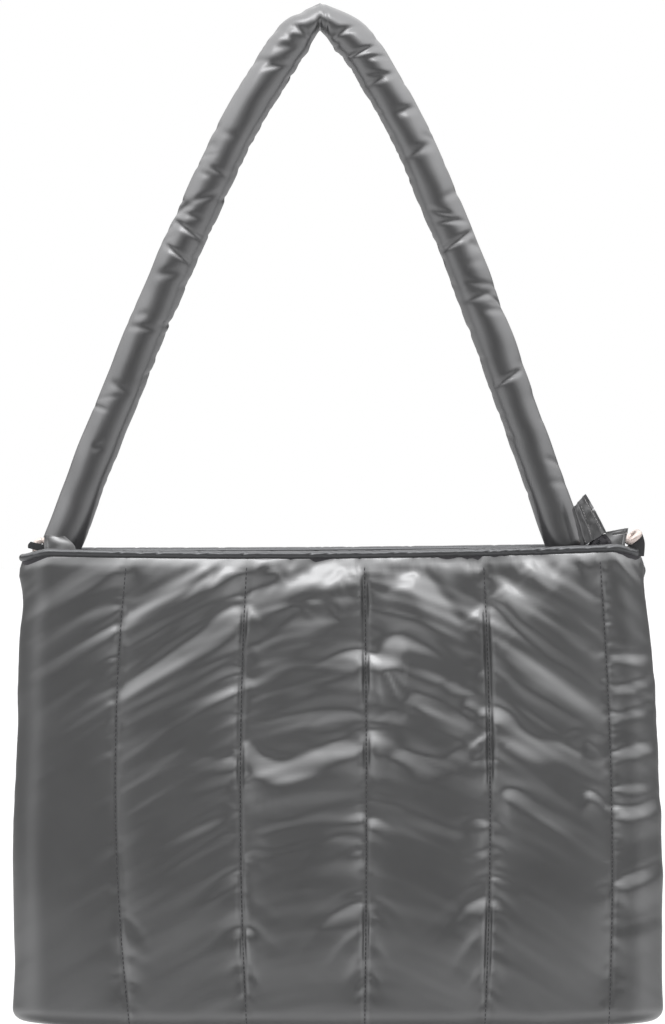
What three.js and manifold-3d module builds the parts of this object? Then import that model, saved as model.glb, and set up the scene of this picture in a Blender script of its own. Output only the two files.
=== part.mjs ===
// A quilted laptop bag that hangs by its padded shoulder strap.
// Millimetres, +Z up, front towards -Y. The origin is where the folded strap sits on what it hangs from.
import * as THREE from 'three';
import { mergeVertices } from 'three/addons/utils/BufferGeometryUtils.js';
import Module from 'manifold-3d';

const wasm = await Module();
wasm.setup();

// Body sizes
const BODY_WIDTH = 401;
const BODY_HEIGHT = 287;
const BASE_DEPTH = 64;
const MOUTH_DEPTH = 46;
const TAPER_START = 0.25;
const CORNER_RADIUS = 15;
const BASE_RADIUS = 5;

// Padding of the walls
const PAD_CROWN = 10;
const PAD_STITCH = 3;
const PAD_BASE_STITCH = 8;
const PAD_RIM = 4;
const RIM_RISE = 26;
const BASE_SEAM_REACH = 16;
const FOLD_BREADTH = 11;
const EDGE_REACH = 55;
const SWELL_FLATNESS = 2.6;
const SWELL_FULLNESS = 0.6;

// Mouth edge and its piping
const FRONT_SAG = 3.4;
const BACK_SAG = 1.2;
const MOUTH_TILT = 1.6;
const END_DIP = 4;
const END_DIP_START = 0.9;
const PIPING_DIAMETER = 4.6;
const PIPING_GAP = 0.6;

// Zip in the mouth
const ZIP_DROP = 14;
const TAPE_THICKNESS = 1.4;
const COIL_WIDTH = 6;
const COIL_HEIGHT = 2.4;
const COIL_PITCH = 9;
const COIL_RIPPLE = 0.4;
const SLIDER_LENGTH = 11;
const SLIDER_WIDTH = 8;
const SLIDER_HEIGHT = 3.4;
const TAIL_WIDTH = 3;
const TAIL_REACH = 2;
const TAIL_BULGE = 7.3;
const TAIL_RISE = 19.4;
const TAIL_TAB_THICKNESS = 2.4;
const TAIL_TAB_BEVEL = 0.48;
const TAIL_TAB_LENGTH = 26;
const TAIL_TAB_WIDTH = 18;
const TAIL_INSET = 31;
const TAIL_TAB_SHIFT = 5;
const TAIL_TAB_RISE = 17;

// Shoulder strap
const STRAP_DIAMETER = 24.3;
const STRAP_RISE = 336;
const FOLD_HEIGHT = 19;
const FOLD_DEPTH = 27.6;
const FOLD_REACH = 27;
const STRAP_OFFSET = 2.7;
const FOOT_DROP = 6;
const FOOT_TAPER = 12;
const FOOT_SHARE = 0.6;
const FOOT_INSET_LEFT = 21.3;
const FOOT_INSET_RIGHT = 42.2;
const FOLD_SHIFT = -10.5;

// Rings and the fabric tabs that hold them
const RING_WIDTH = 10;
const RING_HEIGHT = 20;
const RING_WIRE = 3.2;
const RING_BEVEL = 0.8;
const RING_RADIUS = 3.4;
const RING_INSET = 3.6;
const RING_RISE = 6;
const RIGHT_LIFT = 4;
const TAB_LAYER = 1.2;
const STRAP_TAB_LENGTH_LEFT = 18.5;
const STRAP_TAB_LENGTH_RIGHT = 13;
const STRAP_TAB_HEIGHT = 19;
const SIDE_TAB_HEIGHT = 11;
const TAB_CORNER_SHARE = 0.45;

// Clearance between neighbouring pieces
const GAP = 0.3;
const SEAM_EDGE = 0.001;

// Outline of the body: shares of the half width, to the left and to the right, up the height
const SIDE_OUTLINE = [
  { up: 0.0, left: 0.994, right: 1.0 },
  { up: 0.35, left: 1.0, right: 0.997 },
  { up: 0.58, left: 0.992, right: 0.988 },
  { up: 0.8, left: 0.991, right: 0.972 },
  { up: 1.0, left: 0.972, right: 0.936 },
];

// Upright stitch lines: shares of the half width at the mouth, at mid height and at the base
const STITCH_LINES = [
  { mouth: -0.64, middle: -0.674, base: -0.631 },
  { mouth: -0.274, middle: -0.294, base: -0.275 },
  { mouth: 0.083, middle: 0.089, base: 0.084 },
  { mouth: 0.445, middle: 0.465, base: 0.449 },
  { mouth: 0.799, middle: 0.834, base: 0.827 },
];

// Main folds of the front: three points each, across in half widths and up in heights, and the
// lift in crown thicknesses, where a valley is negative
const FRONT_FOLDS = [
  { across: [-0.335, -0.437, -0.591], up: [0.987, 0.927, 0.858], lift: 0.28 },
  { across: [-0.289, -0.406, -0.606], up: [0.89, 0.808, 0.707], lift: 0.34 },
  { across: [-0.292, -0.375, -0.529], up: [0.744, 0.711, 0.657], lift: 0.28 },
  { across: [0.025, -0.114, -0.268], up: [0.959, 0.851, 0.754], lift: 0.38 },
  { across: [0.009, -0.114, -0.268], up: [0.991, 0.905, 0.787], lift: -0.3 },
  { across: [0.083, -0.006, -0.114], up: [0.791, 0.765, 0.733], lift: 0.3 },
  { across: [-0.258, -0.145, 0.086], up: [0.588, 0.543, 0.619], lift: 0.42 },
  { across: [0.08, -0.006, -0.114], up: [0.371, 0.341, 0.302], lift: 0.24 },
  { across: [0.092, 0.209, 0.348], up: [0.78, 0.823, 0.75], lift: 0.38 },
  { across: [0.24, 0.332, 0.434], up: [0.959, 0.884, 0.776], lift: 0.34 },
  { across: [0.185, 0.225, 0.317], up: [0.927, 0.862, 0.797], lift: -0.34 },
  { across: [0.24, 0.317, 0.409], up: [0.7, 0.664, 0.642], lift: 0.24 },
  { across: [0.092, 0.178, 0.348], up: [0.619, 0.603, 0.55], lift: 0.42 },
  { across: [0.517, 0.64, 0.809], up: [0.927, 0.841, 0.776], lift: 0.32 },
  { across: [0.455, 0.625, 0.809], up: [0.89, 0.759, 0.625], lift: 0.38 },
  { across: [0.462, 0.594, 0.809], up: [0.672, 0.593, 0.539], lift: 0.32 },
  { across: [0.846, 0.9, 0.94], up: [0.776, 0.787, 0.8], lift: 0.2 },
  { across: [0.846, 0.9, 0.94], up: [0.578, 0.59, 0.606], lift: 0.2 },
  { across: [-0.683, -0.745, -0.86], up: [0.899, 0.888, 0.85], lift: 0.2 },
];

// Main folds of the back, across counted the same way as on the front
const BACK_FOLDS = [
  { across: [-0.31, -0.44, -0.62], up: [0.93, 0.84, 0.76], lift: 0.3 },
  { across: [-0.1, -0.02, 0.07], up: [0.9, 0.8, 0.73], lift: 0.3 },
  { across: [0.12, 0.26, 0.42], up: [0.72, 0.66, 0.64], lift: 0.34 },
  { across: [-0.26, -0.1, 0.06], up: [0.55, 0.5, 0.53], lift: 0.34 },
  { across: [0.48, 0.62, 0.8], up: [0.88, 0.76, 0.7], lift: 0.3 },
];

// Route of each limb of the strap, from its foot to the fold: shares of the rise and of the spread
const STRAP_ROUTE = [
  { rise: 0.0, left: 1.0, right: 1.0 },
  { rise: 0.19, left: 0.852, right: 0.853 },
  { rise: 0.41, left: 0.671, right: 0.685 },
  { rise: 0.63, left: 0.473, right: 0.502 },
  { rise: 0.738, left: 0.37, right: 0.401 },
  { rise: 0.848, left: 0.249, right: 0.282 },
  { rise: 0.958, left: 0.105, right: 0.126 },
  { rise: 1.0, left: 0.0, right: 0.0 },
];

// Creases pressed into the strap: place as a share of the limb's length from its foot, turn in
// degrees from the outer side, and depth as a share of the radius
const STRAP_CREASES = [
  { limb: 'left', along: 0.55, turn: 60, depth: 0.12 },
  { limb: 'left', along: 0.6, turn: 120, depth: 0.1 },
  { limb: 'left', along: 0.86, turn: 170, depth: 0.12 },
  { limb: 'right', along: 0.32, turn: 40, depth: 0.12 },
  { limb: 'right', along: 0.58, turn: 100, depth: 0.1 },
  { limb: 'right', along: 0.91, turn: 20, depth: 0.14 },
];
const CREASE_REACH = 9;

// Outline of the tail tab: shares of its width across and of its length up, from its lower corner
const TAIL_TAB_OUTLINE = [
  { across: 0.0, up: 0.0 },
  { across: 0.84, up: 0.36 },
  { across: 0.14, up: 1.26 },
  { across: -0.31, up: 0.9 },
];

// Colours and finish of the materials
const SHELL_COLOUR = 0x77777a;
const TRIM_COLOUR = 0x4c4c50;
const TAPE_COLOUR = 0x37363c;
const COIL_COLOUR = 0x2a2a2e;
const METAL_COLOUR = 0xd8c6bf;

// How finely the soft pieces are divided
const SIDE_COLUMNS = 8;
const CHANNEL_COLUMNS = 6;
const WALL_ROWS = 19;
const ARC_ROWS = 3;
const BASE_ROWS = 3;
const BACK_CHANNEL_COLUMNS = 4;
const BACK_WALL_ROWS = 12;
const STRAP_SIDES = 12;
const STRAP_STATIONS = 78;
const PIPING_SIDES = 8;
const PIPING_STEPS = 60;
const FOLD_SAMPLES = 8;
const TAPE_STEPS = 12;
const OUTLINE_SEGMENTS = 3;
const LOOP_SEGMENTS = 7;
const SLIDER_SEGMENTS = 8;

const lerp = THREE.MathUtils.lerp;
const smoothstep = THREE.MathUtils.smoothstep;
const HALF_WIDTH = BODY_WIDTH / 2;
const INNER_CHANNELS = STITCH_LINES.length - 1;

// Reads one column of a table at a place between its rows
function readTable(rows, place, key, column) {
  const last = rows.length - 1;
  if (place <= rows[0][key]) return rows[0][column];
  for (let i = 0; i < last; i += 1) {
    if (place <= rows[i + 1][key]) {
      const share = (place - rows[i][key]) / (rows[i + 1][key] - rows[i][key]);
      return lerp(rows[i][column], rows[i + 1][column], share);
    }
  }
  return rows[last][column];
}

// Moves each vertex of a closed three.js shape to its place on a piece
function shaped(geometry, place) {
  const positions = geometry.getAttribute('position');
  for (let i = 0; i < positions.count; i += 1) {
    const point = place(positions.getX(i), positions.getY(i), positions.getZ(i));
    positions.setXYZ(i, point.x, point.y, point.z);
  }
  geometry.computeVertexNormals();
  return geometry;
}

// Turns a closed shape into a solid that can be joined and cut
function toSolid(geometry) {
  const bare = geometry.clone();
  bare.deleteAttribute('normal');
  bare.deleteAttribute('uv');
  const merged = mergeVertices(bare, 1e-4);
  return new wasm.Manifold(new wasm.Mesh({
    numProp: 3,
    vertProperties: new Float32Array(merged.getAttribute('position').array),
    triVerts: new Uint32Array(merged.getIndex().array),
  }));
}

function toGeometry(solid) {
  const mesh = solid.getMesh();
  const geometry = new THREE.BufferGeometry();
  const places = new Float32Array(mesh.vertProperties);
  const corners = new Uint32Array(mesh.triVerts);
  geometry.setAttribute('position', new THREE.BufferAttribute(places, 3));
  geometry.setIndex(new THREE.BufferAttribute(corners, 1));
  geometry.computeVertexNormals();
  return geometry;
}

// Places of the body

function halfWidthAt(z, side) {
  return HALF_WIDTH * readTable(SIDE_OUTLINE, z / BODY_HEIGHT, 'up', side);
}

function halfDepthAt(z) {
  return lerp(BASE_DEPTH, MOUTH_DEPTH, smoothstep(z, TAPER_START * BODY_HEIGHT, BODY_HEIGHT)) / 2;
}

// Thickness of the wall at the crown of a channel, thinner towards the mouth's rim
function crownAt(z) {
  return lerp(PAD_RIM, PAD_CROWN, smoothstep(BODY_HEIGHT - z, 0, RIM_RISE));
}

function stitchAt(line, z) {
  const up = THREE.MathUtils.clamp(z / BODY_HEIGHT, 0, 1);
  const bow = 4 * up * (1 - up);
  const straight = lerp(line.base, line.mouth, up);
  return HALF_WIDTH * (straight + bow * (line.middle - (line.base + line.mouth) / 2));
}

// Height of the mouth's edge, which sags between its ends, tilts a little and dips round them
function mouthLevel(x, y) {
  const end = x < 0 ? halfWidthAt(BODY_HEIGHT, 'left') : halfWidthAt(BODY_HEIGHT, 'right');
  const share = Math.min(Math.abs(x) / end, 1);
  const sag = lerp(FRONT_SAG, BACK_SAG, smoothstep(y, -MOUTH_DEPTH / 2, MOUTH_DEPTH / 2));
  const tilt = MOUTH_TILT * x / HALF_WIDTH;
  const dip = END_DIP * smoothstep(share, END_DIP_START, 1);
  return BODY_HEIGHT + tilt - sag * (1 - share * share) - dip;
}

// Padded, quilted wall

// One point of the path from a side seam round the corner to the nearest stitch line
function sideRun(share, halfWidth, halfDepth, lineX) {
  const corner = Math.min(CORNER_RADIUS, halfDepth - GAP / 2);
  const flank = halfDepth - corner - GAP / 2;
  const turn = corner * Math.PI / 2;
  const front = halfWidth - corner - Math.abs(lineX);
  let run = share * (flank + turn + front);
  if (run <= flank) return { x: halfWidth, y: GAP / 2 + run };
  run -= flank;
  if (run <= turn) {
    const angle = run / corner;
    return {
      x: halfWidth - corner * (1 - Math.cos(angle)),
      y: halfDepth - corner * (1 - Math.sin(angle)),
    };
  }
  return { x: halfWidth - corner - (run - turn), y: halfDepth };
}

// Height and inset of one row of the inner face, from the seam under the base up to the mouth
function levelOf(row, wallRows) {
  const baseLevel = PAD_CROWN;
  if (row <= BASE_ROWS) {
    return { z: baseLevel, inset: BASE_RADIUS, reach: row / BASE_ROWS };
  }
  if (row <= BASE_ROWS + ARC_ROWS) {
    const angle = (row - BASE_ROWS) / ARC_ROWS * Math.PI / 2;
    return {
      z: baseLevel + BASE_RADIUS * (1 - Math.cos(angle)),
      inset: BASE_RADIUS * (1 - Math.sin(angle)),
      reach: 1,
    };
  }
  const share = (row - BASE_ROWS - ARC_ROWS) / wallRows;
  return { z: lerp(baseLevel + BASE_RADIUS, BODY_HEIGHT, share), inset: 0, reach: 1 };
}

function wallColumns(channelColumns) {
  return 2 * SIDE_COLUMNS + INNER_CHANNELS * channelColumns;
}

// Which channel a column lies in, and its share across that channel
function channelOf(column, channelColumns) {
  if (column <= SIDE_COLUMNS) return { channel: 0, share: column / SIDE_COLUMNS };
  const middle = column - SIDE_COLUMNS;
  if (middle <= INNER_CHANNELS * channelColumns) {
    const channel = Math.min(Math.floor(middle / channelColumns), INNER_CHANNELS - 1);
    return { channel: channel + 1, share: middle / channelColumns - channel };
  }
  const past = middle - INNER_CHANNELS * channelColumns;
  return { channel: INNER_CHANNELS + 1, share: past / SIDE_COLUMNS };
}

function innerPoint(column, row, panel) {
  const level = levelOf(row, panel.wallRows);
  const crown = crownAt(level.z);
  const wallDepth = halfDepthAt(level.z) - crown - level.inset;
  const halfDepth = lerp(GAP / 2 + SEAM_EDGE, wallDepth, level.reach);
  const left = halfWidthAt(level.z, 'left') - crown - level.inset;
  const right = halfWidthAt(level.z, 'right') - crown - level.inset;
  const place = channelOf(column, panel.channelColumns);
  const lines = STITCH_LINES.map((line) => stitchAt(line, level.z));
  const point = new THREE.Vector3(0, 0, level.z);
  if (place.channel === 0) {
    const run = sideRun(place.share, left, halfDepth, lines[0]);
    point.x = -run.x;
    point.y = -run.y;
  } else if (place.channel > INNER_CHANNELS) {
    const run = sideRun(1 - place.share, right, halfDepth, lines[INNER_CHANNELS]);
    point.x = run.x;
    point.y = -run.y;
  } else {
    point.x = lerp(lines[place.channel - 1], lines[place.channel], place.share);
    point.y = -halfDepth;
  }
  return point;
}

// Lift of the folds at a place on the wall
function foldLift(x, z, folds) {
  let lift = 0;
  for (const fold of folds) {
    const points = fold.across.map((across, i) => {
      return new THREE.Vector2(across * HALF_WIDTH, fold.up[i] * BODY_HEIGHT);
    });
    const curve = new THREE.SplineCurve(points);
    const here = new THREE.Vector2(x, z);
    let nearest = Infinity;
    for (let i = 0; i <= FOLD_SAMPLES; i += 1) {
      nearest = Math.min(nearest, curve.getPoint(i / FOLD_SAMPLES).distanceTo(here));
    }
    lift += fold.lift * Math.exp(-((nearest / FOLD_BREADTH) ** 2));
  }
  return lift * PAD_CROWN;
}

// Both walls are worked out as the front one, and the back one is then turned over to its own side
function quiltedWall(panel) {
  const columns = wallColumns(panel.channelColumns);
  const rows = BASE_ROWS + ARC_ROWS + panel.wallRows;
  const box = new THREE.BoxGeometry(1, 1, 1, columns, rows, 1);
  return shaped(box, (across, up, out) => {
    const column = Math.round((0.5 + (panel.behind ? -across : across)) * columns);
    const row = Math.round((up + 0.5) * rows);
    const inner = innerPoint(column, row, panel);
    const outward = outwardAt(column, row, columns, rows, panel);
    const middle = inner.clone().addScaledVector(outward, PAD_RIM / 2);
    const point = inner.clone();
    if (out > 0) point.addScaledVector(outward, wallThickness(column, row, inner, panel));
    const side = panel.behind ? -1 : 1;
    point.y *= side;
    const rimShare = smoothstep(inner.z, BODY_HEIGHT - EDGE_REACH, BODY_HEIGHT);
    point.z += (mouthLevel(middle.x, side * middle.y) - BODY_HEIGHT) * rimShare;
    return point;
  });
}

// Direction out of the wall, kept square to its neighbour along the seams and to the rim
function outwardAt(column, row, columns, rows, panel) {
  const alongColumn = innerPoint(Math.min(column + 1, columns), row, panel)
    .sub(innerPoint(Math.max(column - 1, 0), row, panel));
  const alongRow = innerPoint(column, Math.min(row + 1, rows), panel)
    .sub(innerPoint(column, Math.max(row - 1, 0), panel));
  const outward = alongColumn.cross(alongRow);
  if (column === 0 || column === columns || row === 0) outward.y = 0;
  if (row === rows) outward.z = 0;
  return outward.normalize();
}

// Nought on the side seams, which stay pressed down to the base, and one on the stitch lines
function seamShare(column, panel) {
  const end = wallColumns(panel.channelColumns);
  return smoothstep(Math.min(column, end - column), 0, SIDE_COLUMNS / 2);
}

function wallThickness(column, row, inner, panel) {
  const { share } = channelOf(column, panel.channelColumns);
  const swell = (1 - Math.abs(2 * share - 1) ** SWELL_FLATNESS) ** SWELL_FULLNESS;
  const crown = crownAt(inner.z);
  const onWall = row > BASE_ROWS + ARC_ROWS;
  const rim = smoothstep(BODY_HEIGHT - inner.z, 0, RIM_RISE);
  const lift = onWall ? foldLift(inner.x, inner.z, panel.folds) * rim : 0;
  const seam = row > BASE_ROWS ? 1 : Math.sqrt(smoothstep(-inner.y, 0, BASE_SEAM_REACH));
  const based = 1 - smoothstep(inner.z, PAD_CROWN + BASE_RADIUS, 2 * PAD_CROWN + BASE_RADIUS);
  const atStitch = lerp(PAD_STITCH, PAD_BASE_STITCH, based * seamShare(column, panel));
  return atStitch + Math.max((crown - atStitch) * seam + lift, 0) * swell;
}

// Piping round the mouth: a closed tube on the middle of the rim

function pipingPath() {
  const inset = PAD_RIM / 2;
  const left = halfWidthAt(BODY_HEIGHT, 'left') - inset;
  const right = halfWidthAt(BODY_HEIGHT, 'right') - inset;
  const halfDepth = MOUTH_DEPTH / 2 - inset;
  const corner = CORNER_RADIUS + PAD_RIM / 2;
  const plan = new THREE.Path();
  plan.moveTo(0, -halfDepth);
  plan.lineTo(right - corner, -halfDepth);
  plan.absarc(right - corner, -halfDepth + corner, corner, -Math.PI / 2, 0);
  plan.absarc(right - corner, halfDepth - corner, corner, 0, Math.PI / 2);
  plan.lineTo(-left + corner, halfDepth);
  plan.absarc(-left + corner, halfDepth - corner, corner, Math.PI / 2, Math.PI);
  plan.absarc(-left + corner, -halfDepth + corner, corner, Math.PI, Math.PI * 1.5);
  plan.closePath();
  return plan;
}

function mouthPiping() {
  const plan = pipingPath();
  const radius = PIPING_DIAMETER / 2;
  const wire = 0.25;
  const ring = new THREE.TorusGeometry(1, wire, PIPING_SIDES, PIPING_STEPS);
  return shaped(ring, (x, y, z) => {
    const share = (Math.atan2(y, x) / (2 * Math.PI) + 1) % 1;
    const out = (Math.hypot(x, y) - 1) / wire;
    const here = plan.getPointAt(share);
    const ahead = plan.getTangentAt(share);
    const level = mouthLevel(here.x, here.y) + PIPING_GAP + radius;
    return new THREE.Vector3(
      here.x + ahead.y * out * radius,
      here.y - ahead.x * out * radius,
      level + z / wire * radius,
    );
  });
}

// Zip across the mouth

function zipLevel(x) {
  return mouthLevel(x, 0) - ZIP_DROP;
}

// Half the depth of the space between the walls, at the level of the zip
function zipHalfDepth() {
  const lowest = BODY_HEIGHT - ZIP_DROP - FRONT_SAG;
  return halfDepthAt(lowest) - crownAt(lowest) - GAP;
}

function zipEnd(side) {
  const level = BODY_HEIGHT - ZIP_DROP;
  return halfWidthAt(level, side) - crownAt(level) - CORNER_RADIUS;
}

// A strip along the zip, between two depths and two heights above the zip's level
function zipStrip(steps, from, to, low, high, ripple) {
  const left = -zipEnd('left');
  const right = zipEnd('right');
  const box = new THREE.BoxGeometry(1, 1, 1, steps, 1, 1);
  return shaped(box, (along, deep, up) => {
    const x = lerp(left, right, along + 0.5);
    const bulge = Math.round((along + 0.5) * steps) % 2 === 0 ? ripple : 0;
    const y = deep < 0 ? from - bulge : to + bulge;
    return new THREE.Vector3(x, y, zipLevel(x) + (up < 0 ? low : high));
  });
}

// Extrudes an outline drawn across and up, and stands it upright, centred on its thickness
function upright(shape, thickness, bevel) {
  const geometry = new THREE.ExtrudeGeometry(shape, {
    depth: thickness - 2 * bevel,
    bevelEnabled: bevel > 0,
    bevelThickness: bevel,
    bevelSize: bevel,
    bevelOffset: -bevel,
    bevelSegments: 1,
    curveSegments: OUTLINE_SEGMENTS,
  });
  geometry.translate(0, 0, -(thickness - 2 * bevel) / 2);
  geometry.rotateX(Math.PI / 2);
  return geometry;
}

// Extrudes a plan upwards
function plate(shape, height, segments) {
  return new THREE.ExtrudeGeometry(shape, {
    depth: height,
    bevelEnabled: false,
    curveSegments: segments,
  });
}

function zipSlider() {
  const shape = new THREE.Shape();
  const half = SLIDER_WIDTH / 2;
  shape.moveTo(0, -half);
  shape.lineTo(SLIDER_LENGTH - half, -half);
  shape.absarc(SLIDER_LENGTH - half, 0, half, -Math.PI / 2, Math.PI / 2);
  shape.lineTo(0, half);
  shape.closePath();
  return plate(shape, SLIDER_HEIGHT, SLIDER_SEGMENTS);
}

// The zip's free end, which curls out of the mouth towards its tab
function zipTail() {
  const middle = TAIL_RISE / 2;
  const start = -Math.PI / 2;
  const end = Math.PI / 2;
  const shape = new THREE.Shape();
  shape.moveTo(0, 0);
  shape.absellipse(TAIL_REACH, middle, TAIL_BULGE, middle, start, end);
  shape.lineTo(TAIL_REACH - TAPE_THICKNESS, TAIL_RISE);
  shape.lineTo(TAIL_REACH - TAPE_THICKNESS, TAIL_RISE - TAPE_THICKNESS);
  shape.absellipse(TAIL_REACH, middle, TAIL_BULGE - TAPE_THICKNESS, middle - TAPE_THICKNESS, end, start, true);
  shape.lineTo(0, TAPE_THICKNESS);
  shape.closePath();
  return upright(shape, TAIL_WIDTH, 0);
}

function zipTailTab() {
  const points = TAIL_TAB_OUTLINE.map((corner) => {
    return new THREE.Vector2(corner.across * TAIL_TAB_WIDTH, corner.up * TAIL_TAB_LENGTH);
  });
  return upright(new THREE.Shape(points), TAIL_TAB_THICKNESS, TAIL_TAB_BEVEL);
}

// Shoulder strap: one padded tube from foot to foot, folded over at the top

const leftMouthEnd = halfWidthAt(BODY_HEIGHT, 'left');
const rightMouthEnd = halfWidthAt(BODY_HEIGHT, 'right');
const footLevel = BODY_HEIGHT - FOOT_DROP;
const foldLevel = footLevel + STRAP_RISE;
const strapRadius = STRAP_DIAMETER / 2;

// Middle line of one limb, from its foot up to the fold
function limbCurve(side) {
  const foot = side === 'left' ? -leftMouthEnd + FOOT_INSET_LEFT : rightMouthEnd - FOOT_INSET_RIGHT;
  const points = STRAP_ROUTE.map((row) => {
    return new THREE.Vector2(lerp(FOLD_SHIFT, foot, row[side]), footLevel + row.rise * STRAP_RISE);
  });
  return new THREE.SplineCurve(points);
}

function creaseAt(side, along, length, angle) {
  let dent = 0;
  for (const crease of STRAP_CREASES) {
    if (crease.limb !== side) continue;
    const distance = (along - crease.along) * length / CREASE_REACH;
    const turn = angle - THREE.MathUtils.degToRad(crease.turn);
    dent += crease.depth * Math.exp(-(distance ** 2)) * (0.5 + 0.5 * Math.cos(turn));
  }
  return 1 - dent;
}

function shoulderStrap() {
  const limbs = { left: limbCurve('left'), right: limbCurve('right') };
  const tube = new THREE.CylinderGeometry(1, 1, 1, STRAP_SIDES, STRAP_STATIONS);
  return shaped(tube, (out, along, deep) => {
    const side = along < 0 ? 'left' : 'right';
    const limb = limbs[side];
    const fromFoot = 1 - 2 * Math.abs(along);
    const length = limb.getLength();
    const centre = limb.getPointAt(fromFoot);
    const heading = limb.getTangentAt(fromFoot).multiplyScalar(side === 'left' ? 1 : -1);
    const folded = 1 - smoothstep((1 - fromFoot) * length, 0, FOLD_REACH);
    heading.lerp(new THREE.Vector2(1, 0), folded).normalize();
    const outX = -heading.y;
    const outZ = heading.x;
    const tapered = lerp(FOOT_SHARE, 1, smoothstep(fromFoot * length, 0, FOOT_TAPER));
    const dent = creaseAt(side, fromFoot, length, Math.atan2(-deep, out));
    const tall = lerp(strapRadius, FOLD_HEIGHT / 2, folded) * tapered * dent;
    const wide = lerp(strapRadius, FOLD_DEPTH / 2, folded) * tapered * dent;
    return new THREE.Vector3(
      centre.x + outX * out * tall,
      STRAP_OFFSET + deep * wide,
      centre.y + outZ * out * tall,
    );
  });
}

// Rings and tabs

const ringWireOffset = (RING_WIDTH - RING_WIRE) / 2;
const loopHole = RING_WIRE / 2 + GAP;
const loopRadius = loopHole + TAB_LAYER;
const tabDepth = STRAP_OFFSET - strapRadius - GAP - TAB_LAYER;
const ringReach = loopRadius + GAP + ringWireOffset + RING_INSET;
const leftRingX = -leftMouthEnd + PAD_RIM + ringReach;
const rightRingX = rightMouthEnd - PAD_RIM - ringReach;
const leftRingZ = mouthLevel(-leftMouthEnd, 0) + RING_RISE;
const rightRingZ = mouthLevel(rightMouthEnd, 0) + RING_RISE + RIGHT_LIFT;

function roundedOutline(width, height, radius) {
  const x = width / 2;
  const y = height / 2;
  const outline = new THREE.Shape();
  outline.absarc(x - radius, y - radius, radius, 0, Math.PI / 2);
  outline.absarc(-x + radius, y - radius, radius, Math.PI / 2, Math.PI);
  outline.absarc(-x + radius, -y + radius, radius, Math.PI, Math.PI * 1.5);
  outline.absarc(x - radius, -y + radius, radius, Math.PI * 1.5, Math.PI * 2);
  outline.closePath();
  return outline;
}

function ringGeometry() {
  const outline = roundedOutline(RING_WIDTH, RING_HEIGHT, RING_RADIUS);
  const holeRadius = RING_RADIUS - RING_WIRE + TAB_LAYER;
  const hole = roundedOutline(RING_WIDTH - 2 * RING_WIRE, RING_HEIGHT - 2 * RING_WIRE, holeRadius);
  outline.holes.push(new THREE.Path(hole.getPoints(OUTLINE_SEGMENTS)));
  return upright(outline, RING_WIRE, RING_BEVEL);
}

// Plan of a strip that loops round a ring's wire at the origin and runs off towards +X
function loopSolid(length, height) {
  const shape = new THREE.Shape();
  const start = Math.asin(TAB_LAYER / loopRadius);
  shape.moveTo(length, -TAB_LAYER);
  shape.lineTo(length, TAB_LAYER);
  shape.absarc(0, 0, loopRadius, start, Math.PI * 2 - start);
  shape.closePath();
  const hole = new THREE.Path();
  hole.absarc(0, 0, loopHole, 0, Math.PI * 2);
  shape.holes.push(hole);
  const strip = plate(shape, height, LOOP_SEGMENTS);
  strip.translate(0, 0, -height / 2);
  return toSolid(strip);
}

// Flat tab from a ring to the strap's foot, narrow in the ring and rounded at its far top corner
function strapTab(length) {
  const narrow = RING_HEIGHT - 2 * RING_WIRE - 2 * TAB_LAYER;
  const top = STRAP_TAB_HEIGHT / 2;
  const shoulder = RING_WIRE / 2 + GAP;
  const corner = length * TAB_CORNER_SHARE;
  const outline = new THREE.Shape();
  outline.moveTo(-2 * loopRadius, -narrow / 2);
  outline.lineTo(shoulder, -narrow / 2);
  outline.lineTo(shoulder, -top);
  outline.lineTo(length + TAB_LAYER, -top);
  outline.lineTo(length + TAB_LAYER, 0);
  outline.absellipse(length - corner, 0, corner, top, 0, Math.PI / 2);
  outline.lineTo(shoulder, top);
  outline.lineTo(shoulder, narrow / 2);
  outline.lineTo(-2 * loopRadius, narrow / 2);
  outline.closePath();
  const cutter = toSolid(upright(outline, 4 * loopRadius, 0));
  return toGeometry(loopSolid(length, STRAP_TAB_HEIGHT).intersect(cutter));
}

// Fabric loop that ties a ring to the end of the mouth
function sideTab() {
  return toGeometry(loopSolid(loopRadius + GAP, SIDE_TAB_HEIGHT));
}

// The right-hand loop also goes over the piping and down the outside of the side seam
function overTab() {
  const pipingEdge = rightMouthEnd - PAD_RIM / 2 + PIPING_DIAMETER / 2;
  const outside = pipingEdge + GAP - (rightRingX + ringWireOffset);
  const inside = loopHole;
  const high = SIDE_TAB_HEIGHT / 2 + TAB_LAYER;
  const low = -SIDE_TAB_HEIGHT - TAB_LAYER;
  const hook = new THREE.Shape();
  hook.moveTo(inside, 0);
  hook.lineTo(inside + TAB_LAYER, 0);
  hook.lineTo(inside + TAB_LAYER, high);
  hook.lineTo(outside, high);
  hook.lineTo(outside, low);
  hook.lineTo(outside + TAB_LAYER, low);
  hook.lineTo(outside + TAB_LAYER, high + TAB_LAYER);
  hook.lineTo(inside, high + TAB_LAYER);
  hook.closePath();
  const over = toSolid(upright(hook, 2 * TAB_LAYER, 0));
  return toGeometry(loopSolid(loopRadius, SIDE_TAB_HEIGHT).add(over));
}

// Materials, and the assembly

const shell = new THREE.MeshStandardMaterial({ color: SHELL_COLOUR, roughness: 0.34, metalness: 0.6 });
const trim = new THREE.MeshStandardMaterial({ color: TRIM_COLOUR, roughness: 0.4, metalness: 0.4 });
const tape = new THREE.MeshStandardMaterial({ color: TAPE_COLOUR, roughness: 0.85, metalness: 0 });
const coil = new THREE.MeshStandardMaterial({ color: COIL_COLOUR, roughness: 0.45, metalness: 0 });
const metal = new THREE.MeshStandardMaterial({ color: METAL_COLOUR, roughness: 0.22, metalness: 1 });

const bag = new THREE.Group();

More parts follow.
